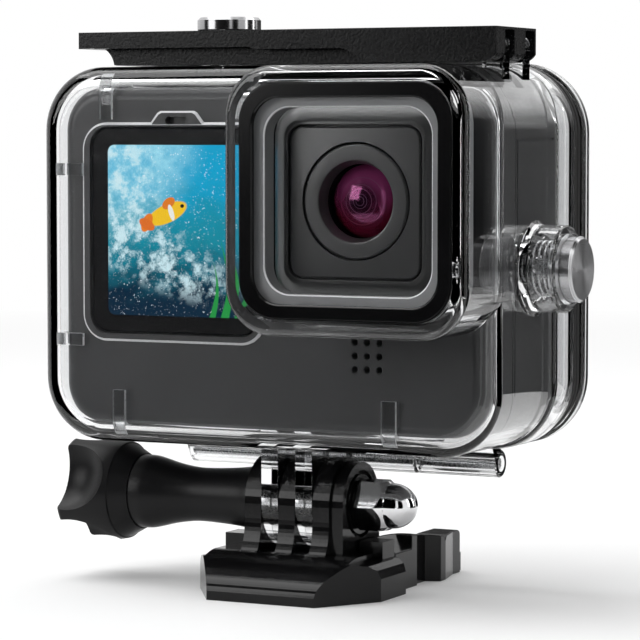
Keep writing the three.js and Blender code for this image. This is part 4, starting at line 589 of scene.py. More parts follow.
MATERIALS = {
    "clear": clear("clear_polycarbonate", (0.985, 0.99, 0.995), 1.49, 0.003, 0.003),
    "clear_window": clear("window_glass", (0.995, 0.998, 1.0), 1.45, 0.002, 0.0),
    # Painted highlight: pale, half-clear sides for the clear inner ribs, in place of the light they carry by
    # internal reflection.
    "rib_painted_highlight": surface(
        "rib_edge_painted_highlight", (0.62, 0.63, 0.64), (0.75, 0.76, 0.77), 0.25, 0.4, 1500, 0.003,
        Transmission_Weight=0.45, IOR=1.49),
    "black": surface(
        "satin_black_nylon", (0.003, 0.003, 0.0033), (0.005, 0.005, 0.0055), 0.3, 0.4, 3400, 0.01, 0.2),
    "gloss_nylon": surface(
        "gloss_black_nylon", (0.002, 0.002, 0.0022), (0.0035, 0.0035, 0.0038), 0.12, 0.18, 2200, 0.003, 0.28),
    "grained": surface(
        "grained_black_nylon", (0.0025, 0.0025, 0.0028), (0.0045, 0.0045, 0.005), 0.22, 0.32, 2200, 0.04,
        0.2),
    "body_grey": surface(
        "soft_charcoal", (0.022, 0.0222, 0.023), (0.026, 0.0263, 0.0275), 0.33, 0.42, 4200, 0.004, 0.45),
    "gloss_black": surface(
        "gloss_black", (0.003, 0.003, 0.0035), (0.005, 0.005, 0.0055), 0.1, 0.16, 900, 0.001, 0.4),
    "screen_glass": surface(
        "dark_screen_glass", (0.009, 0.009, 0.0095), (0.011, 0.011, 0.0115), 0.08, 0.12, 900, 0.001, 0.4),
    "rubber": surface(
        "black_silicone", (0.006, 0.006, 0.006), (0.009, 0.009, 0.009), 0.5, 0.65, 1800, 0.008, 0.3),
    "steel": surface(
        "satin_steel", (0.55, 0.55, 0.56), (0.62, 0.62, 0.63), 0.2, 0.34, 3000, 0.002, Metallic=1.0),
    "chrome": surface("chrome", (0.72, 0.72, 0.73), (0.78, 0.78, 0.79), 0.05, 0.1, 700, 0.001, Metallic=1.0),
    "dark_grey": surface(
        "dark_grey_satin", (0.07, 0.071, 0.073), (0.08, 0.082, 0.084), 0.3, 0.42, 2500, 0.003),
    # Painted highlight: a pale colour for thin edges, in place of the bright lines they catch.
    "edge_painted_highlight": surface("painted_edge_highlight", (0.5, 0.5, 0.505), (0.6, 0.6, 0.61), 0.2, 0.3, 2000, 0.002),
    "display": display_picture("display"),
    # Lens glass colours: the dark middle, the painted reflection's rim colour at the bottom and at the top,
    # then the specular tint face-on and at a slant.
    "coated_lens": coated_glass(
        "coated_glass", (0.004, 0.001, 0.004), (0.06, 0.003, 0.012), (0.13, 0.02, 0.07), (1.0, 0.3, 0.7),
        (1.0, 0.2, 0.45)),
    "board": surface("circuit_board", (0.01, 0.07, 0.03), (0.015, 0.1, 0.045), 0.4, 0.55, 1500, 0.01),
    "battery": surface("battery_sleeve", (0.09, 0.09, 0.1), (0.12, 0.12, 0.13), 0.45, 0.55, 1800, 0.005),
    "lens_plate": surface(
        "lens_plate_satin", (0.015, 0.0153, 0.016), (0.017, 0.0174, 0.018), 0.32, 0.35, 900, 0.0002,
        0.8, (*LENS, 160.0)),
    "bezel_grey": surface("bezel_satin", (0.125, 0.127, 0.13), (0.135, 0.137, 0.14), 0.35, 0.42, 900, 0.0005),
}
DRAWN = set()
FLAT_ANGLE = 0.4


def polished(obj, bevel=0.0, sharp=32.0, segments=2):
    """Smooth shading between sharp edges, small rounded edges and flat faces that stay flat."""
    mesh = obj.data
    mesh.polygons.foreach_set("use_smooth", [True] * len(mesh.polygons))
    mesh.set_sharp_from_angle(angle=math.radians(sharp))
    if bevel:
        flat = obj.modifiers.new("flat", "DECIMATE")
        flat.decimate_type = "DISSOLVE"
        flat.angle_limit = math.radians(FLAT_ANGLE)
        flat.delimit = {"MATERIAL"}
        edge = obj.modifiers.new("edge", "BEVEL")
        edge.width = bevel * MM
        edge.segments = segments
        edge.limit_method = "ANGLE"
        edge.angle_limit = math.radians(sharp)
        edge.use_clamp_overlap = True
        edge.miter_outer = "MITER_ARC"
    weighted = obj.modifiers.new("weighted", "WEIGHTED_NORMAL")
    weighted.keep_sharp = True
    weighted.weight = 100


def stands_for(obj, node, material=None, bevel=0.0, sharp=30.0, segments=2):
    """A drawn piece takes a CAD node's place: it hides it, rides on its body and takes its slot."""
    obj.name = f"{node}_fine"
    obj.data.materials.clear()
    obj.data.materials.append(MATERIALS[material or SLOT_OF[node]])
    polished(obj, bevel, sharp, segments)
    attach(obj, BODY_OF[node])
    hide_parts(node)
    DRAWN.add(node)
    return obj


def paint_faces(obj, material, chosen):
    """Gives the chosen faces a second material."""
    obj.data.materials.append(MATERIALS[material])
    for face in obj.data.polygons:
        if chosen(face):
            face.material_index = 1


def copy_of(node, shift=(0, 0, 0)):
    """A copy of a solid's mesh, to be cut or moved a little, in a piece that replaces it."""
    mesh = NODES[node].data.copy()
    mesh.transform(Matrix.Translation(Vector(shift) * MM))
    obj = placed(f"{node}_copy", mesh)
    bm = bmesh.new()
    bm.from_mesh(mesh)
    bmesh.ops.remove_doubles(bm, verts=bm.verts, dist=1e-7)
    bm.to_mesh(mesh)
    bm.free()
    return obj


# Lens port
RING_FRONT, RING_REAR, RING_REACH = -27.7, -26.9, 5.0
WINDOW_FRONT, WINDOW_REAR = -26.8, -26.2
BEZEL_FRONT, BEZEL_REAR, BEZEL_REACH = -26.1, -22.9, 6.5
PORT_EDGE_INSET = PORT_WALL + GAP
INNER_CHAMFER = 3


def port_frame(front, rear, inner, chamfer, share):
    """A frame inside the port, from its front to its rear plane, with small chamfers at the front."""
    outer = PORT_EDGE_INSET
    return loft("frame", PORT, [
        (front + chamfer, outer), (rear, outer), (rear, inner), (front + chamfer, inner),
        (front, inner - chamfer), (front, outer + chamfer)], share, loop=True)


def lens_port():
    ring = port_frame(RING_FRONT, RING_REAR, RING_REACH, 0.25, 0.7)
    stands_for(ring, "port_ring", "gloss_nylon", bevel=0.05)
    window = loft("window", PORT, [
        (WINDOW_FRONT, PORT_EDGE_INSET + 0.1), (WINDOW_FRONT + 0.1, PORT_EDGE_INSET),
        (WINDOW_REAR - 0.1, PORT_EDGE_INSET), (WINDOW_REAR, PORT_EDGE_INSET + 0.1)], 0.8)
    stands_for(window, "port_window")
    bezel = port_frame(BEZEL_FRONT, BEZEL_REAR, BEZEL_REACH, 0.2, 0.55)
    stands_for(bezel, "port_bezel", "bezel_grey")
    ring_faces = 4 * (CORNER_STEPS + 1)
    # Painted highlight: the inner chamfer is coloured pale for the thin bright line it catches.
    paint_faces(bezel, "edge_painted_highlight", lambda face: face.index // ring_faces == INNER_CHAMFER)


# Lens module of the camera
COVER = (29.9, 31.0, 5.4, 18.95, 64.6)
PLATE_INSET = 3.4
GROOVE, OPENING, BARREL = 9.1, 6.3, 6.9
BAFFLE_FRONT, BAFFLE_STEP, BAFFLE_REAR, BAFFLE_COUNT = -18.7, -8.8, -2.3, 5


def lens_module():
    x, z = LENS
    centre = (x, 0, z)
    front, rear = LENS_FRONT, CAMERA_FRONT - GAP
    cover = loft("cover", COVER, [
        (front, 3.0), (front + 0.15, 2.6), (front + 0.7, 1.5), (front + 1.4, 0.55), (front + 2.2, 0.1),
        (front + 2.8, 0), (rear, 0)])
    seat = loft("seat", COVER, [(front - 1, PLATE_INSET), (front + 1.2, PLATE_INSET)], 0.85)
    bore = rod("y", GROOVE, front - 1, rear + 1, centre)
    stands_for(cut(cover, seat, bore), "lens_cover", "lens_plate", 0.15)
    plate = loft("plate", COVER, [
        (front + 0.1, PLATE_INSET + 0.55), (front + 0.3, PLATE_INSET + 0.3),
        (front + 0.9, PLATE_INSET + 0.3)], 0.85)
    hole = rod("y", GROOVE + 0.15, front - 1, front + 3, centre)
    stands_for(cut(plate, hole), "lens_plate", "lens_plate", 0.08)
    outer = GROOVE - 0.15
    ring = turned("ring", "y", [
        (OPENING, front + 0.45), (OPENING + 0.1, front + 0.12), (OPENING + 0.35, front), (outer - 0.3, front),
        (outer, front + 0.25), (outer, front + 1.6), (BARREL, front + 1.6), (BARREL, front + 1.2),
        (OPENING - 0.5, front + 2.2), (OPENING, front + 0.45)], centre)
    stands_for(ring, "lens_ring", "lens_plate")
    baffle_steps(centre)
    front_glass = turned("glass", "y", meniscus(5.7, -17.1, 2.6, 1.7, 0.5), centre)
    stands_for(front_glass, "lens_front_glass")
    rear_glass = turned("glass", "y", meniscus(4.2, -8.6, 2.0, 0.4, 0.8), centre)
    stands_for(rear_glass, "lens_rear_glass")


def baffle_steps(centre):
    """The barrel with the stepped rings that show behind the front glass."""
    front, step, rear = BAFFLE_FRONT, BAFFLE_STEP, BAFFLE_REAR
    wide, narrow, flange = 6.0, 4.5, 8.5
    radius, y = narrow, step - 0.8
    profile = [
        (wide, front), (BARREL, front), (BARREL, step), (flange, step), (flange, rear), (narrow, rear),
        (narrow, y)]
    depth = (y - (front + 2.6)) / BAFFLE_COUNT
    width = (wide - narrow) / BAFFLE_COUNT
    for i in range(BAFFLE_COUNT):
        radius += width
        profile += [(radius - 0.04, y - 0.05), (radius, y - depth)]
        y -= depth
    profile.append((wide, front))
    stands_for(turned("barrel", "y", profile, centre), "lens_barrel", "gloss_black", sharp=20)


def dome(radius, height, base, steps=20):
    """Points of a sphere's cap, from its top to its rim."""
    sphere = (radius ** 2 + height ** 2) / (2 * height)
    places = [radius * i / steps for i in range(steps + 1)]
    return [(r, base - height + sphere - math.sqrt(sphere ** 2 - r ** 2)) for r in places]


def meniscus(radius, rim, crown, hollow, edge):
    """A domed front, an edge and a back that is hollow by less."""
    return dome(radius, crown, rim) + dome(radius, hollow, rim + edge)[::-1]


# Camera body
MIC_X, MIC_HALF, MIC_RISE = -16.7, 3.1, 1.8
MIC_SLOT = (4.2, 1.3, 0.65, MIC_X, 77.4)
RIM_RISE = 0.45
SPEAKER_FROM_RIGHT, SPEAKER_FROM_BOTTOM, SPEAKER_PITCH, SPEAKER_RADIUS = 22.7, 11.2, 2.15, 0.5
SPEAKER_ROWS = 3
SEAM = 0.3


def mic_outline(base, inset):
    """The rise over the microphone slot on the screen's rim, drawn in by an inset."""
    half, foot, peak = MIC_HALF - inset, MIC_HALF + MIC_RISE - inset, base + MIC_RISE - inset
    side = [(half, peak), (half + 0.6, peak - 0.3), (foot, base - inset), (foot, base - 1.5)]
    return [(MIC_X + x, z) for x, z in side] + [(MIC_X - x, z) for x, z in side[::-1]]


def speaker_holes():
    front, bottom, r = CAMERA_FRONT, CAMERA_FRONT + 2, SPEAKER_RADIUS
    holes = []
    for i in range(SPEAKER_ROWS ** 2):
        x = CAMERA_RIGHT - SPEAKER_FROM_RIGHT + (i % SPEAKER_ROWS) * SPEAKER_PITCH
        z = CAMERA_BOTTOM + SPEAKER_FROM_BOTTOM + (i // SPEAKER_ROWS) * SPEAKER_PITCH
        holes.append(turned("hole", "y", [
            (0, front - 1), (r + 0.2, front - 1), (r + 0.15, front), (r, front + 0.15), (r, bottom),
            (0, bottom)], (x, 0, z), 32))
    return holes


def camera_front():
    body = loft("cover", CAMERA, rounded_front(CAMERA_FRONT, COVER_REAR, CAMERA_EDGE))
    top, foot = CAMERA_FRONT - RIM_RISE, CAMERA_FRONT + 1
    rim = loft("rim", SCREEN_RIM, [(top, 0.45), (top + 0.35, 0.05), (top + 0.5, 0), (foot, 0)])
    base = sides(SCREEN_RIM)[3]
    mic = skin("mic", [
        [(x, y, z) for x, z in mic_outline(base, inset)]
        for y, inset in ((top + 0.05, 0.3), (top + 0.3, 0.0), (foot, 0.0))])
    join(body, rim, mic)
    inside = loft("inside", CAMERA, rounded_front(CAMERA_FRONT + 3.4, COVER_REAR + 1, 1.6, CAMERA_WALL))
    well = loft("well", SCREEN, [
        (top - 1, -0.35), (top + 0.45, -0.35), (top + 0.75, -0.1), (CAMERA_FRONT + 1.9, -0.1)])
    slot = loft("slot", MIC_SLOT, [(top - 1, 0), (top + 1.2, 0)])
    lens = loft("lens", COVER, [(CAMERA_FRONT - 1, 1.7), (CAMERA_FRONT + 5, 1.7)])
    cut(body, inside, well, slot, lens, *speaker_holes())
    stands_for(body, "camera_front_cover", sharp=28)
    reach_x, reach_z = SCREEN_RIM[0] / 2 - 3.6, SCREEN_RIM[1] / 2 - 0.7

    def on_rim_edge(face):
        x, y, z = face.center / MM
        outside = abs(x - SCREEN_RIM[3]) > reach_x or abs(z - SCREEN_RIM[4]) > reach_z
        slanted = 0.2 < -face.normal.y < 0.95
        return top - 0.01 < y < top + 0.4 and outside and slanted
    # Painted highlight: the slanted outer edge of the screen rim and the microphone rise is coloured pale for
    # the thin bright line it catches.
    paint_faces(body, "edge_painted_highlight", on_rim_edge)


def screen_and_picture():
    front = CAMERA_FRONT - 0.1
    glass = loft("glass", SCREEN, [(front, 0.15), (front + 0.12, 0), (CAMERA_FRONT + 1.4, 0)])
    pocket = loft("pocket", PICTURE, [(front - 1, -0.02), (CAMERA_FRONT + 0.3, -0.02)])
    stands_for(cut(glass, pocket), "front_screen", "screen_glass")
    picture = loft("picture", PICTURE, [(front + 0.03, 0), (CAMERA_FRONT + 0.28, 0)])
    stands_for(picture, "front_display")


def room_for(a0, a1, b0, b1, corner):
    """The outline of an opening with a gap round what it takes."""
    return (a1 - a0 + 2 * GAP, b1 - b0 + 2 * GAP, corner, (a0 + a1) / 2, (b0 + b1) / 2)


def camera_back():
    front, rear = COVER_REAR + GAP, CAMERA_REAR
    case = loft("case", CAMERA, [
        (front, 0.15), (front + 0.15, 0), (rear - 2.6, 0), (rear - 2.0, 0.08), (rear - 1.4, 0.3),
        (rear - 0.8, 0.75), (rear - 0.35, 1.3), (rear, 2.2)])
    inside = loft("inside", CAMERA, [(front - 1, CAMERA_WALL), (rear - 2.2, CAMERA_WALL)])
    (x0, y0, z0), (x1, _, z1) = box_of("rear_screen")
    screen = loft("tray", room_for(x0, x1, z0, z1, 3.0), [(y0 - GAP, 0), (rear + 1, 0)])
    (door_left, y0, z0), (_, y1, z1) = box_of("battery_door")
    door = outline(room_for(y0, y1, z0, z1, 2.0))
    opening = skin("door", [[(x, y, z) for y, z in door] for x in (CAMERA_LEFT - 1, CAMERA_LEFT + 3)])
    bores = []
    for node, button in (("camera_shutter_button", SHUTTER), ("camera_mode_button", MODE)):
        axis, place = line_of(button)
        low, high = box_of(node)
        across = (axis + 1) % 3
        radius = (high[across] - low[across]) / 2 + 0.25
        bores.append(rod(button["axis"], radius, low[axis] - 2, high[axis] + 4, place, 48))
    seam_x, seam_y, seam_z = CAMERA_RIGHT - 0.35, CAMERA_FRONT + 3.1, CAMERA_TOP - 8.6
    seam_y = max(seam_y, front + 0.6)
    seams = [
        block("seam", seam_x, CAMERA_RIGHT + 1, seam_y, seam_y + SEAM, 34, seam_z),
        block("seam", seam_x, CAMERA_RIGHT + 1, front + 0.6, rear - 3, seam_z - SEAM, seam_z)]
    cut(case, inside, screen, opening, *bores, *seams)
    stands_for(case, "camera_rear_case", sharp=28)
    shift = (CAMERA_LEFT - door_left + 0.1, 0, 0)
    stands_for(copy_of("battery_door", shift), "battery_door", bevel=0.15)


# Push buttons
COIL_RADIUS, WIRE, CURLS, CURL_STEPS, WIRE_SIDES = 4.3, 0.4, 3, 40, 10
TRAVEL = 1.0


def button_cap(node, axis, place, low, high):
    """A turned steel cap with a bright chamfer round its face and a groove behind its head."""
    r = CAP_RADIUS
    cap = turned("cap", "xyz"[axis], [
        (0, low), (r - 0.5, low), (r - 0.3, low + 0.2), (r - 0.3, high - 2.3), (r - 0.05, high - 2.1),
        (r, high - 2.0), (r, high - 0.45), (r - 0.08, high - 0.38), (r - 0.45, high), (0, high)], place)
    name = f"{node}_steel"
    MATERIALS[name] = turned_steel(name, place, axis)
    stands_for(cap, node, name, sharp=25)


def coil(node, axis, place, low, high):
    """A compression spring drawn with more steps than its solid: one wire with closed ends."""
    total, length = CURLS * CURL_STEPS, high - low - WIRE
    path = []
    for i in range(total + 1):
        angle, along = i / CURL_STEPS * 2 * math.pi, low + WIRE / 2 + length * i / total
        path.append(Vector(SPOKES["xyz"[axis]](COIL_RADIUS, along, math.cos(angle), math.sin(angle))))
    centre, line = Vector(place), Vector((0, 0, 0))
    line[axis] = 1
    rings = []
    for i, point in enumerate(path):
        ahead = path[min(i + 1, total)] - path[max(i - 1, 0)]
        out = (point - line * point.dot(line)).normalized()
        side = ahead.normalized().cross(out)
        rings.append([
            centre + point + (out * math.cos(a) + side * math.sin(a)) * WIRE / 2
            for a in (k / WIRE_SIDES * 2 * math.pi for k in range(WIRE_SIDES))])
    spring = stands_for(skin("spring", rings), node, "steel", sharp=50)
    anchor = [v * MM for v in place]
    anchor[axis] = low * MM
    1 - TRAVEL / (high - low)
    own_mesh(spring)


def push_buttons():
    for node, button in (("shutter", SHUTTER), ("mode", MODE)):
        axis, place = line_of(button)
        low, high = (corner[axis] for corner in box_of(f"{node}_cap"))
        button_cap(f"{node}_cap", axis, place, low, high)
        low, high = (corner[axis] for corner in box_of(f"{node}_spring"))
        coil(f"{node}_spring", axis, place, low, high)


# Thumb knob and nut
KNOB_LONGER, KNOB_HEAD, KNOB_RADIUS, SCREW_BORE = 0.4, 12.4, 9.1, 2.7
SCOOP_RADIUS, SCOOP_OFFSET, SCOOP_COUNT, SCOOP_START = 8.1, 12.8, 4, math.pi * 8 / 9
NUT_FLATS, NUT_LENGTH, NUT_DOME, NUT_DOME_RADIUS, NUT_CROWN = 8, 5.4, 4.2, 3.7, 4.7


def scoop(x, angle):
    """A ball beside the knob's head, to be cut out of it."""
    centre = Vector((x, SCOOP_OFFSET * math.cos(angle), AXIS_Z + SCOOP_OFFSET * math.sin(angle))) * MM
    bm = bmesh.new()
    bmesh.ops.create_uvsphere(bm, u_segments=96, v_segments=48, radius=SCOOP_RADIUS * MM)
    bmesh.ops.translate(bm, verts=bm.verts, vec=centre)
    return to_object("ball", bm)


def curve_through(points, steps=4):
    """A smooth curve through points (Catmull-Rom)."""
    result = []
    last = len(points) - 1
    for i in range(last):
        p = [Vector(points[min(max(k, 0), last)]) for k in (i - 1, i, i + 1, i + 2)]
        for k in range(steps):
            t = k / steps
            q = p[1] * 2 + (p[2] - p[0]) * t + (p[0] * 2 - p[1] * 5 + p[2] * 4 - p[3]) * t ** 2
            q = (q + (p[1] * 3 - p[0] - p[2] * 3 + p[3]) * t ** 3) / 2
            result.append(tuple(q))
    return result + [points[-1]]


def thumb_knob():
    left, right = (corner[0] for corner in box_of("thumb_knob"))
    left -= KNOB_LONGER
    neck, r = left + KNOB_HEAD, KNOB_RADIUS
    knob = turned("head", "x", [
        (0, left), (r - 0.6, left), (r - 0.15, left + 0.2), (r, left + 0.6), (r - 0.35, left + 5.5),
        (r - 0.6, neck - 4.4), (r - 0.9, neck - 3), (r - 1.15, neck - 2.85), (r - 2.7, neck), (0, neck)],
        CLAMP_AXIS)
    turn = 2 * math.pi / SCOOP_COUNT
    cut(knob, *[scoop(left + 1.8, SCOOP_START + i * turn) for i in range(SCOOP_COUNT)])
    waist = curve_through([
        (6.15, neck - 1), (6.15, neck + 1.8), (5.8, neck + 3.6), (5.1, neck + 6.4), (4.6, neck + 9.6),
        (4.5, neck + 12.4), (4.75, right - 5.8), (5.1, right - 2.6), (5.5, right - 0.8)])
    join(knob, turned("sleeve", "x", [(0, neck - 1)] + waist + [(5.5, right), (0, right)], CLAMP_AXIS))
    cut(knob, rod("x", SCREW_BORE, left + 4, right + 1, CLAMP_AXIS, 48))
    stands_for(knob, "thumb_knob", bevel=0.22, sharp=24, segments=3)


def acorn_nut():
    seat = box_of("acorn_nut")[0][0]
    end, r = seat + NUT_LENGTH, NUT_CROWN
    corner = NUT_FLATS / 2 / math.cos(math.pi / 6)
    nut = prism("nut", "x", arc(0, AXIS_Z, corner, 0, 300, 5), seat, end)
    common(nut, turned("crown", "x", [
        (0, seat), (4.1, seat), (r, seat + 0.6), (r, end - 1.6), (3.6, end), (0, end)], CLAMP_AXIS))
    tilts = [math.radians(a) for a in range(0, 90, 5)]
    arch = [(NUT_DOME_RADIUS * math.cos(a), end + NUT_DOME * math.sin(a)) for a in tilts]
    join(nut, turned("dome", "x", [
        (0, seat + 1), (NUT_DOME_RADIUS, seat + 1)] + arch + [(0, end + NUT_DOME)], CLAMP_AXIS))
    cut(nut, rod("x", SCREW_BORE, seat - 1, seat + 4.3, CLAMP_AXIS, 48))
    stands_for(nut, "acorn_nut", bevel=0.12, sharp=28)


# Door and gasket
DOOR_FRONT, DOOR_REAR = 19.0, 22.9
DOOR_FRAME_INSET, DOOR_FRAME_WALL = 3.0, 2.2
GASKET_FRONT, GASKET_REAR, GASKET_TONGUE = 15.9, 18.7, 21.2


def rear_door():
    front, rear, inset = DOOR_FRONT, DOOR_REAR, DOOR_FRAME_INSET
    panel = loft("door", FLANGE, [
        (front, 0.3), (front + 0.3, 0), (rear - 1.8, 0), (rear - 1.3, 0.1), (rear - 0.9, 0.35),
        (rear - 0.5, 0.75), (rear - 0.15, 1.3), (rear, 1.8)])
    start, inner = CAMERA_REAR + GAP, inset + DOOR_FRAME_WALL
    rim = loft("frame", HOUSING, [(start, inset + 0.6), (start + 0.6, inset), (front + 0.5, inset)])
    cut(rim, loft("hollow", HOUSING, [(start - 1, inner), (front, inner)]))
    y, z = HINGE
    foot = HOUSING_BOTTOM + 1
    web = [(y + 0.4, z + 1.2), (y + 0.6, z - 1.6), (rear - 0.8, foot), (front + 0.3, foot)]
    join(panel, rim, knuckle(HINGE_SPANS[0][1] + GAP, HINGE_SPANS[1][0] - GAP, web))
    groove = loft("groove", FLANGE, [
        (front - 1, 0.7), (front + 2.5, 0.7), (front + 2.5, 2.7), (front - 1, 2.7)], loop=True)
    stands_for(cut(panel, groove, hinge_bore()), "rear_door", bevel=0.12)


def door_gasket():
    front, rear, tongue = GASKET_FRONT, GASKET_REAR, GASKET_TONGUE
    gasket = loft("gasket", FLANGE, [
        (front + 0.3, 0.4), (front + 1.1, 0.4), (front + 1.3, 0.6), (front + 1.5, 0.6), (front + 1.7, 0.4),
        (rear - 0.3, 0.4), (rear, 0.7), (rear, 1.0), (tongue, 1.0), (tongue, 2.4), (rear, 2.4), (rear, 2.6),
        (front, 2.6), (front, 0.7)], loop=True)
    stands_for(gasket, "door_gasket", sharp=40)


# Latch over the top
LATCH_LEFT, LATCH_FRONT, LATCH_BACK, LATCH_TOP = -36.0, -12.4, 23.0, 91.9
LATCH_BODY_FRONT, LATCH_BLOCK_LEFT, LATCH_BLEND = -9.0, 17.8, 6.0
LATCH_PLATE, LATCH_THICK = 2.7, 3.1
LATCH_BOTTOM, LATCH_SKIRT = 87.1, 86.5
LATCH_NARROW_X, LATCH_NARROW_Y = 21.0, 3.6
EAR_SLOT_HALF, EAR_ROOM = 1.9, 2.1


def latch_side():
    """The latch from the front: the plate, the curl of its finger lip and the round at the pivot."""
    x, z = LATCH_PIVOT
    lip = arc(LATCH_LEFT + 1.2, LATCH_SKIRT - 0.4, 3.6, 62, 8, 10)
    heel = arc(x, z, z - LATCH_SKIRT, -84, -40, 8)
    return (
        [(LATCH_LEFT, LATCH_TOP - LATCH_PLATE)] + lip + [(LATCH_LEFT + 5.2, LATCH_SKIRT), (x, LATCH_SKIRT)]
        + heel + [(x + 2.4, z - 1.6), (x + 2.4, LATCH_TOP), (LATCH_LEFT, LATCH_TOP)])


def latch_tools():
    """What is cut from the latch: hollows under its plate, its narrow back, room for button, ears and pin."""
    x, z = LATCH_PIVOT
    left, end, front, back = LATCH_LEFT - 1, x + 3.4, LATCH_FRONT - 1, LATCH_BACK + 1
    low, high, ceiling = LATCH_SKIRT - 1, LATCH_TOP + 1, LATCH_TOP - LATCH_THICK
    drop = LATCH_SKIRT - 0.02 - ceiling
    blend = [
        (LATCH_BLOCK_LEFT - LATCH_BLEND * (1 - t), ceiling + drop * (3 * t * t - 2 * t ** 3))
        for t in (i / 12 for i in range(13))]
    hollow = [(left, ceiling)] + blend + [(LATCH_BLOCK_LEFT, low - 1), (left, low - 1)]
    px, py, _ = SHUTTER["place"]
    step, radius, plate = px + 10, SHUTTER["cup"] + 1.0, LATCH_TOP - LATCH_PLATE
    thin = [
        (left, ceiling - 1), (step + 1.2, ceiling - 1), (step + 0.6, ceiling + 0.1), (step, plate),
        (left, plate)]
    narrow_x, narrow_y = LATCH_NARROW_X, LATCH_NARROW_Y
    narrow = [
        (narrow_x + 6, narrow_y), (end, narrow_y), (end, back), (narrow_x, back), (narrow_x, narrow_y + 6)]
    hole = [
        (0, low), (radius, low), (radius, LATCH_TOP - 0.5), (radius + 0.35, LATCH_TOP + 0.01),
        (radius + 0.35, high), (0, high)]
    slot = [(x - EAR_ROOM, low), (end, low), (end, z + EAR_ROOM), (x, z + EAR_ROOM)]
    slot += arc(x, z, EAR_ROOM, 90, 180, 12)[1:]
    return [
        prism("hollow", "y", hollow, front, LATCH_BODY_FRONT),
        prism("thin", "y", thin, front, LATCH_BODY_FRONT),
        block("rear", left, end, FLANGE_FRONT - 0.4, back, low, LATCH_BOTTOM),
        prism("narrow", "z", narrow, low, high),
        turned("hole", "z", hole, (px, py, 0)),
        *[prism("slot", "y", slot, y - EAR_SLOT_HALF, y + EAR_SLOT_HALF) for y in EARS],
        rod("y", 1.2, LATCH_FRONT + 1.6, LATCH_BACK, (x, 0, z), 32),
    ]


def latch_lever():
    """The plate with its finger lip, and the block at the hinge, which is narrower at the back."""
    whole = prism("latch", "y", latch_side(), LATCH_FRONT, LATCH_BACK)
    stands_for(cut(whole, *latch_tools()), "latch_lever", "grained", bevel=0.5, sharp=28, segments=4)
    x, z = LATCH_PIVOT
    front, rear, r = LATCH_FRONT + 1.8, LATCH_NARROW_Y, 1.0
    pin = turned("pin", "y", [
        (0, front), (r - 0.1, front), (r, front + 0.1), (r, rear - 0.1), (r - 0.1, rear), (0, rear)],
        (x, 0, z), 32)
    stands_for(pin, "latch_pin")


# Buckle arms: their roots slope down to the sides
ARM_SLOPE_INNER, ARM_SLOPE_OUTER, ARM_SLOPE_FOOT = 11.0, 16.2, 5.2


def release_arms():
    for node, side in (("release_arm_left", -1), ("release_arm_right", 1)):
        (_, y0, _), (_, _, top) = box_of(node)
        inner, outer = side * ARM_SLOPE_INNER, side * (ARM_SLOPE_OUTER + 0.8)
        slope = prism("slope", "y", [
            (outer, ARM_SLOPE_FOOT), (side * ARM_SLOPE_OUTER, ARM_SLOPE_FOOT), (inner, top + 0.1),
            (inner, top + 1), (outer, top + 1)], y0 - 1, y0 + 6.5)
        stands_for(cut(copy_of(node), slope), node, "gloss_nylon", bevel=0.3, sharp=28, segments=3)


# Solids that are shown as they are
MATERIAL_OF = {"buckle_body": "gloss_nylon", "clamp_bolt": "steel"}
SOFT_EDGES = {"buckle_body": 0.35}

for node, obj in NODES.items():
    obj.data.materials.clear()
    obj.data.materials.append(MATERIALS[MATERIAL_OF.get(node, SLOT_OF[node])])

stands_for(clear_shell(), "front_shell", bevel=0.18, sharp=24, segments=3)
corner_ribs()
lens_port()
lens_module()
camera_front()
screen_and_picture()
camera_back()
push_buttons()
thumb_knob()
acorn_nut()
rear_door()
door_gasket()
latch_lever()
release_arms()

for node, obj in NODES.items():
    if node not in DRAWN:
        polished(obj, SOFT_EDGES.get(node, 0.08), segments=3 if node in SOFT_EDGES else 2)


# Studio in metres: pale floor, white surroundings, black cards that only reflections see, soft lamps
FLOOR_HALF, FLOOR_DROP, FLOOR_NEAR, FLOOR_FAR, FLOOR_GLOW = 40.0, 0.00002, 0.35, 0.8, 0.1
APRON_RADIUS, APRON_RISE = 0.13, 0.0004
CARD_RADIUS, CARD_HEIGHT, LOW_CARD, LOW_FADE = 1.0, 0.75, 0.45, 0.13
ROOF_RADIUS, ROOF_HEIGHT = 0.5, 1.3
CARD_ARCS = ((-74, 28), (38, 60), (98, 142))
LOW_ARCS = ((150, 206), (222, 228))
CARD_STEP = 4
LAMPS_AIM = (0, 0, 0.06)
LAMPS = {
    "top_light": ((-0.38, -0.15, 0.95), 0.8, 0.9, 8.0),
    "plate_light": ((-0.53, -0.63, 0.3), 0.42, 0.42, 2.2),
    "right_strip": ((0.85, 0.05, 0.35), 0.1, 0.7, 0.9),
    "cap_light": ((0.67, 0.52, 0.22), 0.07, 0.45, 0.8),
    "rear_light": ((0.1, 0.6, 0.75), 0.6, 0.3, 1.5),
}


def lamp(name, place, width, height, power):
    data = bpy.data.lights.new(name, "AREA")
    data.shape = "RECTANGLE"
    data.size = width
    data.size_y = height
    data.energy = power
    obj = placed(name, data)
    obj.location = place
    obj.rotation_euler = (Vector(LAMPS_AIM) - Vector(place)).to_track_quat("-Z", "Y").to_euler()


def surroundings():
    """White where it is seen, reflected or seen through; as a light it is dimmer, and dimmest from below."""
    world = bpy.data.worlds.new("studio")
    bpy.context.scene.world = world
    tree = tree_of(world)
    light = place_in(tree, "Generated")[2].ranged(0.08, 0.55, -0.1, 0.9)
    soft = output_of(tree, "Background", Color=(1, 1, 1), Strength=light)
    white = output_of(tree, "Background", Color=(1, 1, 1), Strength=1.0)
    path = add(tree, "LightPath")
    seen = Value(path.outputs["Is Camera Ray"])
    for kind in ("Is Transmission Ray", "Is Glossy Ray"):
        seen = seen.math("MAXIMUM", path.outputs[kind])
    add(tree, "OutputWorld", Surface=output_of(tree, "MixShader", seen, soft, white))


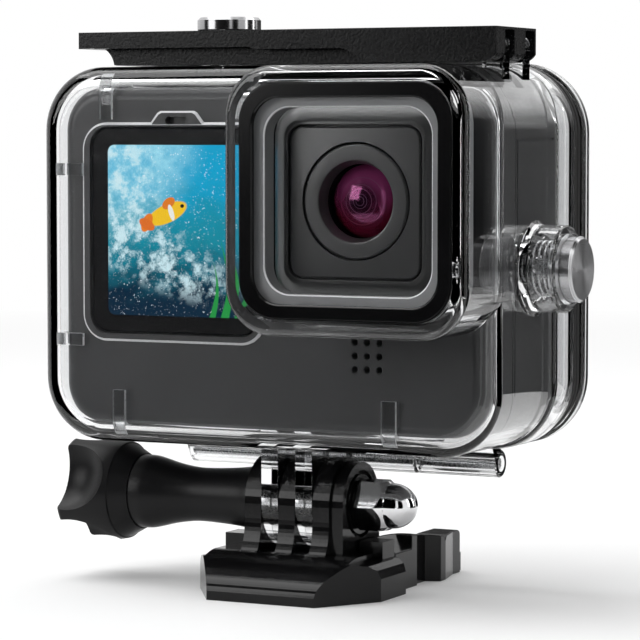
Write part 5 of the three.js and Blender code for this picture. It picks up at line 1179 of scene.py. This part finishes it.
def floor():
    """A pale floor that fades to white with distance."""
    corners = [(x * FLOOR_HALF, y * FLOOR_HALF, 0) for x, y in ((-1, -1), (1, -1), (1, 1), (-1, 1))]
    bm = bmesh.new()
    bm.faces.new([bm.verts.new(corner) for corner in corners])
    obj = to_object("floor", bm)
    obj.location.z = -FLOOR_DROP
    material, tree = new_material("pale_floor")
    diffuse = output_of(tree, "BsdfDiffuse", Color=(0.8, 0.8, 0.8))
    glow = output_of(tree, "Emission", Strength=FLOOR_GLOW)
    near = output_of(tree, "AddShader", diffuse, glow)
    far = output_of(tree, "Emission", Strength=1.0)
    fade = from_centre(tree, (0, 0, 0), 2).ranged(0, 1, FLOOR_NEAR / MM, FLOOR_FAR / MM)
    finish_tree(tree, output_of(tree, "MixShader", fade, near, far))
    obj.data.materials.append(material)
    return obj


def black_cards(name, arcs, levels, fade):
    """Cards round the set that only reflections see: they darken glass and plastic, and fade out upwards."""
    bm = bmesh.new()
    for start, end in arcs:
        steps = max(2, round((end - start) / CARD_STEP))
        angles = [math.radians(start + (end - start) * i / steps) for i in range(steps + 1)]
        rows = [[bm.verts.new((r * math.sin(a), -r * math.cos(a), z)) for a in angles] for r, z in levels]
        for a, b in zip(rows, rows[1:]):
            for i in range(steps):
                bm.faces.new((a[i], a[i + 1], b[i + 1], b[i]))
    obj = to_object(name, bm)
    material, tree = new_material(name)
    reflected = Value(add(tree, "LightPath").outputs["Glossy Depth"]).math("MINIMUM", 1.0)
    shown = reflected * place_in(tree)[2].ranged(1, 0, *fade)
    through = output_of(tree, "BsdfTransparent")
    black = output_of(tree, "Emission", Strength=0.0)
    finish_tree(tree, output_of(tree, "MixShader", shown, through, black))
    obj.data.materials.append(material)
    obj.visible_camera = False
    obj.visible_diffuse = False
    obj.visible_shadow = False
    return obj


def studio():
    surroundings()
    apron = [(APRON_RADIUS, APRON_RISE), (CARD_RADIUS, APRON_RISE)]
    tall = apron + [(CARD_RADIUS, CARD_HEIGHT), (ROOF_RADIUS, ROOF_HEIGHT)]
    low = apron + [(CARD_RADIUS, LOW_CARD)]
    high_cards = black_cards("high_cards", CARD_ARCS, tall, (ROOF_HEIGHT, ROOF_HEIGHT + 1))
    low_cards = black_cards("low_cards", LOW_ARCS, low, (LOW_FADE, LOW_CARD))
    floor()
    for name, values in LAMPS.items():
        lamp(name, *values)


# The camera that was fitted to the photograph
SENSOR, FOCAL_LENGTH, YAW, PITCH = 36.0, 168.6, 26.5, 3.59
CAMERA_PLACE = (0.22145, -0.43942, 0.07555)


def photo_camera():
    data = bpy.data.cameras.new("camera")
    data.sensor_width = SENSOR
    data.lens = FOCAL_LENGTH
    data.clip_start = 0.01
    camera = placed("camera", data)
    camera.location = CAMERA_PLACE
    camera.rotation_euler = (math.radians(90 - PITCH), 0, math.radians(YAW))
    bpy.context.scene.camera = camera


studio()
photo_camera()
bpy.context.scene.view_settings.view_transform = "Standard"
